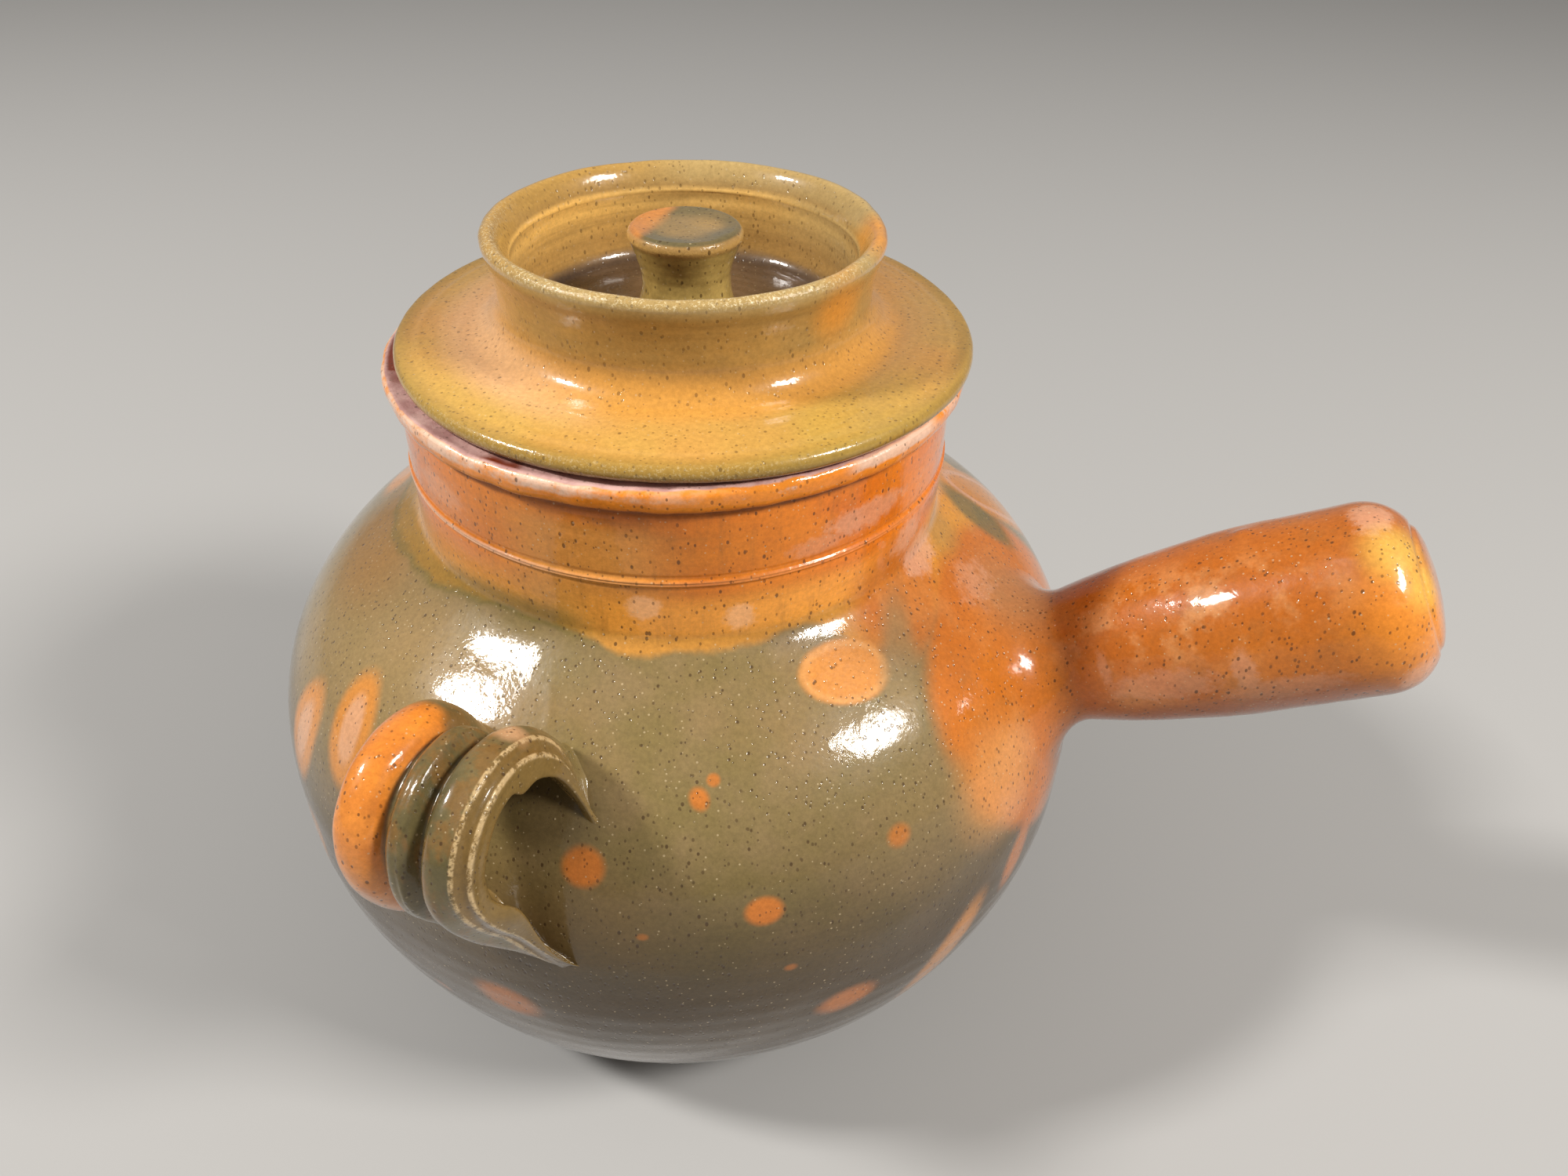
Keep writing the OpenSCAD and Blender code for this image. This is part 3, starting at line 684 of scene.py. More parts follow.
def make_knob():
    n = 200
    turn = np.linspace(-math.pi, math.pi, n + 1)[:-1]
    x = np.linspace(0, 1, 14)
    foot = np.stack([KNOB_WAIST + (KNOB_FOOT - KNOB_WAIST) * (1 - x) ** 2.6, 13.0 * x], -1)
    x = np.linspace(0, 1, 16)[1:]
    head = np.stack([KNOB_WAIST + (KNOB_R - KNOB_WAIST) * x ** 1.6, 13.0 + 11.2 * x], -1)
    edge = arc(KNOB_R - 2.6, 27 - 2.6, 2.6, 2, 84, 14)
    top = np.array([[12.2, 26.9], [11.0, 26.72], [9.2, 26.5], [7.0, 26.36], [4.5, 26.3], [2.2, 26.3]])
    profile = np.vstack([[[9.0, -0.3], [KNOB_FOOT - 0.4, -0.3]], foot, head, edge, top])
    r, z = profile[:, 0], profile[:, 1] + WELL_Z
    p = np.stack(np.broadcast_arrays(r[:, None] * np.cos(turn), r[:, None] * np.sin(turn), z[:, None]), -1).astype(float)
    bumps = 0.14 * ripple(p, 17, 61) + 0.05 * ripple(p, 5, 62) + (0.04 * np.sin(z * 2.3) * (r < 14.8))[:, None]
    rad = np.stack([np.cos(turn), np.sin(turn), 0 * turn], -1)
    side = (smooth(z, WELL_Z + 1, WELL_Z + 4) * (1 - smooth(z, WELL_Z + 26.2, WELL_Z + 27)))[:, None]
    p = p + rad * ((bumps - 0.1) * side)[..., None]
    level = (z > WELL_Z + 26.2)[:, None] & (r < 13.4)[:, None]
    p[..., 2] += np.where(level, 0.14 * (ripple(p, 14, 63) - 1), 0)
    p = p + SHIFT
    piece = grid_mesh("knob_glazed", p, np.array([0, 0, WELL_Z - 0.3]) + SHIFT, np.array([0, 0, WELL_Z + 26.25]) + SHIFT)
    face_outwards(piece)
    dress(piece, "lid", ["lid_knob"], [glaze_knob])


# Materials

class Tree:
    """Short names for building one material's nodes."""

    def __init__(self, name):
        self.mat = bpy.data.materials.new(name)
        self.mat.use_nodes = True
        self.tree = self.mat.node_tree
        self.tree.nodes.clear()
        out = self.add("ShaderNodeOutputMaterial")
        self.bsdf = self.add("ShaderNodeBsdfPrincipled")
        self.link(self.bsdf.outputs[0], out.inputs[0])
        self.place = self.add("ShaderNodeTexCoord").outputs["Object"]

    def add(self, kind, **values):
        node = self.tree.nodes.new(kind)
        for k, v in values.items():
            setattr(node, k, v)
        return node

    def link(self, a, b):
        self.tree.links.new(a, b)

    def put(self, socket, value):
        if isinstance(value, bpy.types.NodeSocket):
            self.link(value, socket)
        elif isinstance(value, (tuple, list)) and len(value) == 3 and socket.type == "RGBA":
            socket.default_value = (*value, 1)
        else:
            socket.default_value = value

    def math(self, op, a, b=0.0, c=0.0, clamp=False):
        node = self.add("ShaderNodeMath", operation=op, use_clamp=clamp)
        self.put(node.inputs[0], a)
        self.put(node.inputs[1], b)
        if op == "MULTIPLY_ADD":
            self.put(node.inputs[2], c)
        return node.outputs[0]

    def vmath(self, op, a, b):
        node = self.add("ShaderNodeVectorMath", operation=op)
        self.put(node.inputs[0], a)
        self.put(node.inputs[1], b)
        return node.outputs["Value"] if op in ("DOT_PRODUCT", "LENGTH", "DISTANCE") else node.outputs[0]

    def smooth(self, x, low, high, to_low=0.0, to_high=1.0):
        node = self.add("ShaderNodeMapRange", interpolation_type="SMOOTHSTEP")
        self.put(node.inputs[0], x)
        for i, v in enumerate((low, high, to_low, to_high)):
            self.put(node.inputs[i + 1], v)
        return node.outputs[0]

    def mix(self, t, a, b, blend="MIX"):
        node = self.add("ShaderNodeMix", data_type="RGBA", blend_type=blend)
        self.put(node.inputs["Factor"], t)
        self.put(node.inputs[6], a)
        self.put(node.inputs[7], b)
        return node.outputs[2]

    def stretched(self, scale, at=(0, 0, 0)):
        node = self.add("ShaderNodeMapping")
        self.link(self.place, node.inputs[0])
        node.inputs["Location"].default_value = at
        node.inputs["Scale"].default_value = scale
        return node.outputs[0]

    def noise(self, scale, detail=2.0, rough=0.5, vector=None, warp=0.0):
        node = self.add("ShaderNodeTexNoise")
        self.link(vector or self.place, node.inputs["Vector"])
        node.inputs["Scale"].default_value = scale
        node.inputs["Detail"].default_value = detail
        node.inputs["Roughness"].default_value = rough
        node.inputs["Distortion"].default_value = warp
        return node.outputs[0]

    def cells(self, scale, at, stretch):
        """Distance to the nearest of scattered points, and two random values for it."""
        node = self.add("ShaderNodeTexVoronoi")
        self.link(self.stretched(stretch, at), node.inputs["Vector"])
        node.inputs["Scale"].default_value = scale
        split = self.add("ShaderNodeSeparateColor")
        self.link(node.outputs["Color"], split.inputs[0])
        return node.outputs["Distance"], split.outputs[0], split.outputs[1]

    def specks(self, scale, share, small, large, at=(0, 0, 0), stretch=(1, 1, 1)):
        """Round specks in a share of the cells, between two sizes in parts of a cell."""
        far, pick, size = self.cells(scale, at, stretch)
        edge = self.math("MULTIPLY_ADD", size, large - small, small)
        dot = self.smooth(self.math("DIVIDE", far, edge), 1.0, 0.55)
        on = self.math("LESS_THAN", pick, share)
        return self.math("MULTIPLY", dot, on)

    def axes(self):
        split = self.add("ShaderNodeSeparateXYZ")
        self.link(self.place, split.inputs[0])
        return split.outputs

    def blob(self, centre, size, soft, axes=None, warp=None):
        """1 inside an ellipsoid at centre (mm), falling to 0 over its soft edge."""
        at = tuple(v * MM for v in centre)
        off = self.vmath("SUBTRACT", self.place, at)
        if axes is None:
            far = self.math("DIVIDE", self.vmath("LENGTH", off, (0, 0, 0)), size * MM)
        else:
            total = None
            for axis, length in zip(axes, size):
                part = self.math("DIVIDE", self.vmath("DOT_PRODUCT", off, tuple(axis)), length * MM)
                part = self.math("MULTIPLY", part, part)
                total = part if total is None else self.math("ADD", total, part)
            far = self.math("SQRT", total)
        if warp is not None:
            far = self.math("ADD", far, warp)
        return self.smooth(far, 1.0 + soft, 1.0 - soft)

    def long_blob(self, start, end, wide, soft, warp=None):
        """Like blob, long from start to end (mm) and as wide as given across that."""
        a, b = np.array(start, float), np.array(end, float)
        along = (b - a) / np.linalg.norm(b - a)
        across = np.cross(along, (0, 0, 1))
        across /= np.linalg.norm(across)
        size = (np.linalg.norm(b - a) / 2, wide, wide)
        return self.blob((a + b) / 2, size, soft, (along, across, np.cross(along, across)), warp)


def finish_glaze(t, colour, grain=0.13, pits=None, sparkle=None, base_rough=0.32):
    """The last steps that every glazed piece shares: fine grain, unevenness and the shader."""
    fine = t.noise(820, 4, 0.7)
    colour = t.mix(1.0, colour, t.mix(t.smooth(fine, 0.25, 0.75), (1 - grain,) * 3, (1 + grain,) * 3), "MULTIPLY")
    b = t.bsdf
    t.put(b.inputs["Base Color"], colour)
    t.put(b.inputs["Roughness"], t.smooth(t.noise(60, 3), 0.3, 0.8, base_rough - 0.06, base_rough + 0.10))
    b.inputs["IOR"].default_value = 1.45
    b.inputs["Specular IOR Level"].default_value = 0.15
    b.inputs["Coat Weight"].default_value = 1.0
    b.inputs["Coat Roughness"].default_value = 0.045
    b.inputs["Coat IOR"].default_value = 1.34
    wavy = t.math("MULTIPLY_ADD", t.noise(210, 2, 0.5), 0.50, t.math("MULTIPLY", t.noise(700, 3, 0.65), 0.24))
    if pits is not None:
        wavy = t.math("MULTIPLY_ADD", pits, -0.4, wavy)
    if sparkle is not None:
        wavy = t.math("ADD", wavy, sparkle)
    bump = t.add("ShaderNodeBump")
    bump.inputs["Strength"].default_value = 0.35
    bump.inputs["Distance"].default_value = 0.0005
    t.link(wavy, bump.inputs["Height"])
    t.link(bump.outputs[0], b.inputs["Normal"])
    t.link(bump.outputs[0], b.inputs["Coat Normal"])
    return t.mat


WORLD_AXES = ((1, 0, 0), (0, 1, 0), (0, 0, 1))
OLIVE = (0.245, 0.168, 0.076)
OLIVE_GREEN = (0.198, 0.144, 0.052)
OLIVE_DARK_SHADED = (0.050, 0.031, 0.012)
OLIVE_BROWN_SHADED = (0.082, 0.049, 0.018)
ORANGE = (0.76, 0.215, 0.014)
ORANGE_DEEP = (0.64, 0.150, 0.010)
GOLDEN = (0.66, 0.300, 0.036)
PEACH = (0.70, 0.33, 0.110)
PINK = (0.68, 0.38, 0.23)
CHALK = (0.68, 0.37, 0.235)
WORN_RIM = (0.74, 0.48, 0.34)
SPECK = (0.050, 0.024, 0.010)


def on_belly(turn_deg, z):
    """Point of the belly (mm) at an angle and height, with its level and upward directions."""
    a = math.radians(turn_deg)
    r = float(pot_r(z))
    s = float(pot_slope(z))
    level = (-math.sin(a), math.cos(a), 0.0)
    up = np.array([s * math.cos(a), s * math.sin(a), 1.0])
    up /= np.linalg.norm(up)
    return (r * math.cos(a), r * math.sin(a), z), level, tuple(up)


def tilted(level, up, degrees):
    a = math.radians(degrees)
    l, u = np.array(level), np.array(up)
    return tuple(math.cos(a) * l + math.sin(a) * u), tuple(-math.sin(a) * l + math.cos(a) * u)


# Soft orange spots on the belly: angle, height, half width, half height, tilt, softness, pink core, strength
SPOTS = [
    (-81, 129, 5.2, 5.2, 0, 0.28, 0.0, 0.95), (-60, 117, 4.8, 4.0, 0, 0.28, 0.0, 0.95), (-67, 143, 2.3, 2.8, 20, 0.4, 0.0, 0.85),
    (-65, 146, 1.6, 1.6, 0, 0.4, 0.0, 0.75), (-42, 126, 3.2, 3.0, 0, 0.45, 0.0, 0.7), (-40.8, 157.6, 13.0, 8.8, -10, 0.12, 0.0, 1.0),
    (-49, 72, 8.0, 5.5, 10, 0.4, 0.0, 0.75), (-92, 75, 9.0, 6.0, -10, 0.4, 0.0, 0.65), (-120, 135, 8.5, 16.0, 12, 0.22, 0.65, 1.0),
    (-131, 121, 9.0, 16.5, -6, 0.22, 0.65, 1.0), (-129, 84, 7.0, 12.0, -14, 0.3, 0.3, 0.9), (-33, 66, 7.0, 22.0, -28, 0.35, 0.2, 0.8),
    (-20, 88, 5.5, 11.0, -20, 0.4, 0.0, 0.8), (30, 150, 13.0, 26.0, 12, 0.16, 0.0, 0.95), (-104, 60, 3.0, 2.4, 0, 0.4, 0.0, 0.5),
    (72, 118, 10.0, 15.0, 10, 0.22, 0.4, 0.95), (108, 139, 12.0, 10.0, 0, 0.22, 0.2, 0.95), (141, 104, 8.0, 14.0, -15, 0.22, 0.5, 0.9),
    (171, 128, 6.0, 6.0, 0, 0.3, 0.0, 0.9), (96, 70, 9.0, 5.0, 8, 0.35, 0.0, 0.7), (-160, 96, 5.0, 6.0, 0, 0.3, 0.0, 0.85),
    (128, 60, 5.0, 4.0, 0, 0.35, 0.0, 0.7), (50, 84, 4.0, 4.0, 0, 0.3, 0.0, 0.85), (-57, 96, 1.6, 1.2, 0, 0.5, 0.0, 0.5),
    (-74, 112, 1.4, 1.0, 0, 0.5, 0.0, 0.5), (-178, 154, 15.0, 8.0, 8, 0.3, 0.3, 0.95)]

# Thin and rubbed places: centre, half sizes, strength, and whether they lie along the handle
RUBBED = [
    ((149, -25, 146), (15, 9, 5.0), 0.30, True), ((179, -26, 156), (14, 9, 3.8), 0.28, True),
    ((168, -25, 158), (3.0, 8, 7.0), 0.35, True), ((190, 0, 197), (6.0, 8, 4.0), 0.55, True),
    ((209, -21, 165), (5.0, 6, 5.0), 0.5, True), ((133, -24, 146), (2.0, 6, 7.0), 0.25, True),
    ((77, -14, 168), (6, 9, 6), 0.6, False), ((66, -39, 194.5), (11, 14, 4.0), 0.48, False),
    ((56, -51, 191), (8, 8, 2.6), 0.30, False), ((76, -24, 178), (5, 9, 5.0), 0.5, False),
    ((97, -6, 160), (9, 12, 8), 0.35, False), ((-80, 105, 120), (9, 9, 9), 0.4, False),
    ((-40, -66, 195), (10, 10, 4), 0.3, False), ((113, -46, 112), (8, 8, 8), 0.12, False)]


def rim_wear(t, z):
    """Where the glaze is worn off the rim's rolled edge: mostly at the front left, and in patches elsewhere."""
    front = t.smooth(t.vmath("DOT_PRODUCT", t.place, (-0.70, -0.71, 0)), 0.010, 0.062)
    far_right = t.blob((72, -36, 213), (13, 17, 6), 0.25, WORLD_AXES)
    patchy = t.noise(62, 5, 0.75)
    amount = t.math("MAXIMUM", t.math("MULTIPLY", front, t.smooth(patchy, 0.36, 0.56)),
                    t.math("MAXIMUM", t.math("MULTIPLY", far_right, 0.95), t.math("MULTIPLY", t.smooth(patchy, 0.55, 0.64), 0.7)))
    ragged = t.math("MULTIPLY_ADD", t.noise(240, 3, 0.6), 0.0022, -0.0011)
    edge = t.smooth(t.math("ADD", z, ragged), 0.2106, 0.2118)
    return t.math("MULTIPLY", amount, edge)


def belly_colour(t, x, z, slow, mid):
    """Olive and brown of the belly, which the strap's roots share."""
    belly = t.mix(t.smooth(mid, 0.3, 0.72), OLIVE_GREEN, OLIVE)
    belly = t.mix(t.smooth(slow, 0.50, 0.72, 0, 0.6), belly, (0.270, 0.165, 0.060))
    warm = t.blob((-70, -80, 150), (42, 42, 26), 0.6, WORLD_AXES)
    belly = t.mix(t.math("MULTIPLY", warm, 0.6), belly, (0.340, 0.225, 0.092))
    brown = t.blob((-80, -46, 158), (22, 26, 13), 0.6, WORLD_AXES)
    belly = t.mix(t.math("MULTIPLY", brown, 0.6), belly, (0.32, 0.145, 0.030))
    light = t.blob((98, -74, 120), (18, 22, 16), 0.6, WORLD_AXES)
    belly = t.mix(t.math("MULTIPLY", light, 0.5), belly, (0.340, 0.230, 0.100))
    belly = t.mix(t.smooth(x, -0.085, -0.125, 0, 0.6), belly, (0.140, 0.112, 0.040))
    # Darker towards the bottom: partly the glaze's own colour, partly painted shade on the lower belly
    return t.mix(t.smooth(z, 0.146, 0.078), belly, t.mix(mid, OLIVE_DARK_SHADED, OLIVE_BROWN_SHADED))


def pot_colour(t):
    x, y, z = t.axes()
    slow = t.noise(14, 3, 0.5)
    mid = t.noise(46, 4, 0.6)
    streaks = t.noise(1.0, 3, 0.6, t.stretched((16, 16, 330)))
    runs = t.noise(1.0, 3, 0.65, t.stretched((330, 330, 42)))
    belly = belly_colour(t, x, z, slow, mid)
    belly = t.mix(t.math("MULTIPLY", t.smooth(z, 0.14, 0.08), t.smooth(streaks, 0.45, 0.75, 0, 0.4)), belly, (0.070, 0.044, 0.018))
    # The orange round the neck, which ends in a darker fringe
    edge = t.math("MULTIPLY_ADD", slow, 0.010, t.math("MULTIPLY_ADD", mid, 0.006, 0.1600))
    edge = t.math("SUBTRACT", edge, t.smooth(x, 0.003, 0.014, 0, 0.0025))
    edge = t.math("SUBTRACT", edge, t.smooth(x, -0.015, -0.060, 0, 0.006))
    edge = t.math("SUBTRACT", edge, t.smooth(x, 0.055, 0.075, 0, 0.008))
    behind = t.math("MULTIPLY", t.smooth(y, -0.02, 0.03, 0, 0.022), t.math("SUBTRACT", slow, 0.5))
    level = t.math("SUBTRACT", z, t.math("ADD", edge, behind))
    fringe = t.math("MULTIPLY", t.smooth(level, -0.0022, -0.0008), t.smooth(level, 0.008, 0.002))
    fringe = t.math("MULTIPLY", fringe, t.smooth(x, 0.010, -0.006, 0.1, 1.0))
    neck = t.mix(t.smooth(t.noise(30, 3, 0.5, t.stretched((1, 1, 1.6))), 0.35, 0.7), ORANGE, ORANGE_DEEP)
    at, level_axis, up = on_belly(-90, 192)
    brown = t.blob(at, (44, 12), 0.7, (level_axis, up))
    brown = t.math("MULTIPLY", brown, t.smooth(y, 0.0, -0.03, 0, 0.5))
    neck = t.mix(brown, neck, (0.50, 0.185, 0.022))
    neck = t.mix(t.smooth(x, -0.005, -0.045, 0, 0.4), neck, (0.60, 0.160, 0.006))
    neck = t.mix(t.smooth(level, 0.021, 0.002, 0, 0.85), neck, GOLDEN)
    dull = t.math("MULTIPLY", t.smooth(x, -0.024, -0.004), t.smooth(x, 0.034, 0.012))
    dull = t.math("MULTIPLY", dull, t.math("MULTIPLY", t.smooth(y, -0.02, -0.05), t.smooth(z, 0.2050, 0.1990, 0, 0.4)))
    neck = t.mix(dull, neck, (0.66, 0.36, 0.10))
    in_front = t.math("MULTIPLY", t.smooth(x, -0.004, 0.014), t.smooth(y, -0.02, -0.05))
    # Painted light: a brighter orange band on the front of the neck, where the rim and lid cast shade
    painted_light_band = t.math("MULTIPLY", t.smooth(z, 0.1665, 0.1710), t.smooth(z, 0.1835, 0.1760))
    neck = t.mix(t.math("MULTIPLY", t.math("MULTIPLY", painted_light_band, in_front), 0.8), neck, (0.92, 0.365, 0.050))
    # Painted shade: darker gold low on the front of the neck, where it is lit
    low = t.math("MULTIPLY", t.smooth(z, 0.1700, 0.1670), in_front)
    neck = t.mix(t.math("MULTIPLY", low, 0.85), neck, (0.53, 0.235, 0.042))
    neck = t.mix(t.smooth(streaks, 0.52, 0.8, 0, 0.3), neck, (0.34, 0.145, 0.030))
    neck = t.mix(t.smooth(runs, 0.50, 0.75, 0, 0.28), neck, (0.24, 0.105, 0.024))
    # Painted shade: a dark band in the crease under the rim's bead
    neck = t.mix(t.math("MULTIPLY", t.smooth(z, 0.2040, 0.2062), t.smooth(z, 0.2090, 0.2074, 0, 0.7)), neck, (0.16, 0.050, 0.012))
    neck = t.mix(t.smooth(z, 0.2080, 0.2096, 0, 0.6), neck, (0.90, 0.300, 0.026))
    off_line = t.math("ABSOLUTE", t.math("SUBTRACT", z, LINE_Z * MM))
    line = t.math("MULTIPLY", t.smooth(off_line, 0.0010, 0.0004), t.smooth(x, 0.010, -0.030, 0.15, 0.85))
    neck = t.mix(t.math("MULTIPLY", line, t.smooth(y, 0.02, -0.01)), neck, (0.64, 0.38, 0.24))
    colour = t.mix(t.smooth(level, -0.0012, 0.0008), belly, neck)
    colour = t.mix(t.math("MULTIPLY", fringe, 0.7), colour, (0.170, 0.125, 0.030))
    # The orange round the long handle's root, and the handle itself
    warp = t.math("MULTIPLY_ADD", slow, 0.55, -0.30)
    zone = t.blob((130, -10, 133), (64, 54, 43), 0.08, WORLD_AXES, warp)
    over = t.blob((78, -32, 166), (16, 20, 14), 0.35, WORLD_AXES, warp)
    zone = t.math("MAXIMUM", zone, t.math("MULTIPLY", over, 0.9))
    handle = t.mix(t.smooth(slow, 0.35, 0.7), (0.55, 0.160, 0.017), (0.46, 0.122, 0.012))
    handle = t.mix(t.smooth(t.noise(26, 4, 0.6), 0.50, 0.78, 0, 0.45), handle, PEACH)
    mottled = t.blob((152, -14, 164), (34, 12, 13), 0.6, (AXIS, SIDE, TOP))
    mottled = t.math("MULTIPLY", mottled, t.smooth(t.noise(75, 4, 0.65), 0.45, 0.62, 0, 0.55))
    handle = t.mix(mottled, handle, (0.72, 0.36, 0.140))
    # Painted shade: the handle darker along its underside
    height = t.vmath("DOT_PRODUCT", t.vmath("SUBTRACT", t.place, tuple(ROOT * MM)), tuple(TOP))
    under = t.math("MULTIPLY", t.smooth(height, 0.001, -0.018, 0, 0.9), t.smooth(x, 0.124, 0.140))
    handle = t.mix(under, handle, (0.32, 0.070, 0.006))
    blotches = t.noise(95, 5, 0.7)
    handle = t.mix(t.smooth(blotches, 0.50, 0.68, 0, 0.32), handle, (0.34, 0.130, 0.030))
    haze = t.math("MULTIPLY", t.blob((104, 0, 148), (17, 14, 11), 0.6, WORLD_AXES), 0.55)
    handle = t.mix(haze, handle, (0.38, 0.200, 0.090))
    zone = t.math("MAXIMUM", zone, t.smooth(x, 0.128, 0.140))
    colour = t.mix(zone, colour, handle)
    # Soft orange spots where the glaze missed
    ragged = t.math("MULTIPLY_ADD", mid, 0.24, -0.12)
    for turn, high, wide, tall, tilt, soft, core, strength in SPOTS:
        at, level_axis, up = on_belly(turn, high)
        axes = tilted(level_axis, up, tilt)
        warped = ragged if max(wide, tall) > 6 else None
        spot = t.blob(at, (wide, tall), soft, axes, warped)
        near = t.blob(at, 2.2 * max(wide, tall), 0.05)
        spot = t.math("MULTIPLY", t.math("MULTIPLY", spot, near), strength)
        colour = t.mix(spot, colour, (0.55, 0.165, 0.024) if max(wide, tall) < 12 else (0.60, 0.235, 0.044))
        if core > 0:
            heart = t.blob(at, (0.50 * wide, 0.60 * tall), 0.28, axes, warped)
            heart = t.math("MULTIPLY", t.math("MULTIPLY", heart, near), core)
            colour = t.mix(heart, colour, PINK)
    # Darker middle of the large spot inside its paler edge, and a pale outline in the long one behind the handle
    at, level_axis, up = on_belly(-40.8, 157.6)
    spot_axes = tilted(level_axis, up, -10)
    ring = t.math("SUBTRACT", t.blob(at, (12.6, 8.4), 0.08, spot_axes, ragged), t.blob(at, (10.8, 6.8), 0.12, spot_axes, ragged), clamp=True)
    ring = t.math("MULTIPLY", ring, t.blob(at, 30, 0.05))
    colour = t.mix(t.math("MULTIPLY", ring, 0.55), colour, (0.66, 0.33, 0.110))
    at, level_axis, up = on_belly(30, 150)
    axes = tilted(level_axis, up, 12)
    ring = t.math("SUBTRACT", t.blob(at, (10.0, 21), 0.08, axes), t.blob(at, (7.6, 18), 0.08, axes), clamp=True)
    colour = t.mix(t.math("MULTIPLY", ring, 0.75), colour, CHALK)
    low_root = t.math("MULTIPLY", t.blob((108, -48, 121), (16, 16, 15), 0.6, WORLD_AXES), 0.55)
    colour = t.mix(low_root, colour, (0.72, 0.33, 0.095))
    bright_end = t.math("MULTIPLY", t.blob((203, -20, 178), (14, 12, 16), 0.6, WORLD_AXES), 0.65)
    colour = t.mix(bright_end, colour, (0.84, 0.29, 0.032))
    # Olive patch behind the handle's root, and an olive drip between the large spot and the root
    small_warp = t.math("MULTIPLY_ADD", mid, 0.5, -0.25)
    olive_patch = t.long_blob((75, 30, 164), (99, 29, 147), 7.5, 0.30, small_warp)
    colour = t.mix(t.math("MULTIPLY", olive_patch, 0.85), colour, (0.170, 0.130, 0.042))
    drip = t.long_blob((74, -31, 163), (86, -66, 144), 5.6, 0.5, small_warp)
    colour = t.mix(t.math("MULTIPLY", drip, 0.75), colour, (0.270, 0.185, 0.080))
    tinge = t.math("MULTIPLY", t.blob((80, 3, 166), (8, 9, 7), 0.6, WORLD_AXES, small_warp), 0.6)
    colour = t.mix(tinge, colour, (0.36, 0.210, 0.058))
    # Thin and rubbed places, then yellow ones at the handle's end
    grainy = t.math("MULTIPLY_ADD", t.noise(300, 4, 0.75), 1.6, -0.8)
    worn = 0.0
    for centre, size, strength, along in RUBBED:
        axes = (AXIS, SIDE, TOP) if along else WORLD_AXES
        spot = t.math("MULTIPLY", t.blob(centre, size, 0.30, axes, grainy), strength)
        worn = t.math("MAXIMUM", worn, spot)
    colour = t.mix(worn, colour, CHALK)
    for centre, size in (((19, -75, 178), (4.4, 5, 3.6)), ((41, -65, 174), (3.6, 5, 4.2))):
        mark = t.math("MULTIPLY", t.blob(centre, size, 0.30, WORLD_AXES, grainy), 0.6)
        colour = t.mix(mark, colour, (0.92, 0.50, 0.25))
    colour = t.mix(rim_wear(t, z), colour, WORN_RIM)
    # Painted shadow of the loop handle on the belly, under its arch
    painted_loop_shadow = t.math("MULTIPLY", t.blob((4, -112, 138), (15, 12, 9), 0.5, WORLD_AXES), 0.65)
    colour = t.mix(painted_loop_shadow, colour, (0.060, 0.040, 0.015))
    yellow = t.math("MULTIPLY", t.blob((195, -10, 192), (8, 8, 6), 0.6, WORLD_AXES, warp), 0.55)
    yellow = t.math("MAXIMUM", yellow, t.math("MULTIPLY", t.blob((203, -14, 187), 6.0, 0.6), 0.5))
    colour = t.mix(yellow, colour, (0.82, 0.55, 0.105))
    return colour


def speckled(t, colour, dark=0.8, pale=0.5):
    """Fine dark specks, a little taller than wide, and pale flecks."""
    tall = (1, 1, 0.62)
    fine = t.specks(580, 0.95, 0.13, 0.29, (0, 0, 0), tall)
    large = t.specks(400, 0.85, 0.10, 0.23, (1, 4, 2), tall)
    dots = t.math("MAXIMUM", t.math("MULTIPLY", fine, 0.75), large)
    colour = t.mix(t.math("MULTIPLY", dots, dark), colour, SPECK)
    flecks = t.specks(520, 0.8, 0.10, 0.20, (5, 2, 7), (1, 1, 1))
    colour = t.mix(t.math("MULTIPLY", flecks, pale), colour, (0.60, 0.47, 0.28))
    return colour, dots


def make_pot_glaze():
    t = Tree("pot_glaze")
    colour = pot_colour(t)
    colour, dots = speckled(t, colour, 0.72, 0.45)
    return finish_glaze(t, colour, pits=dots)


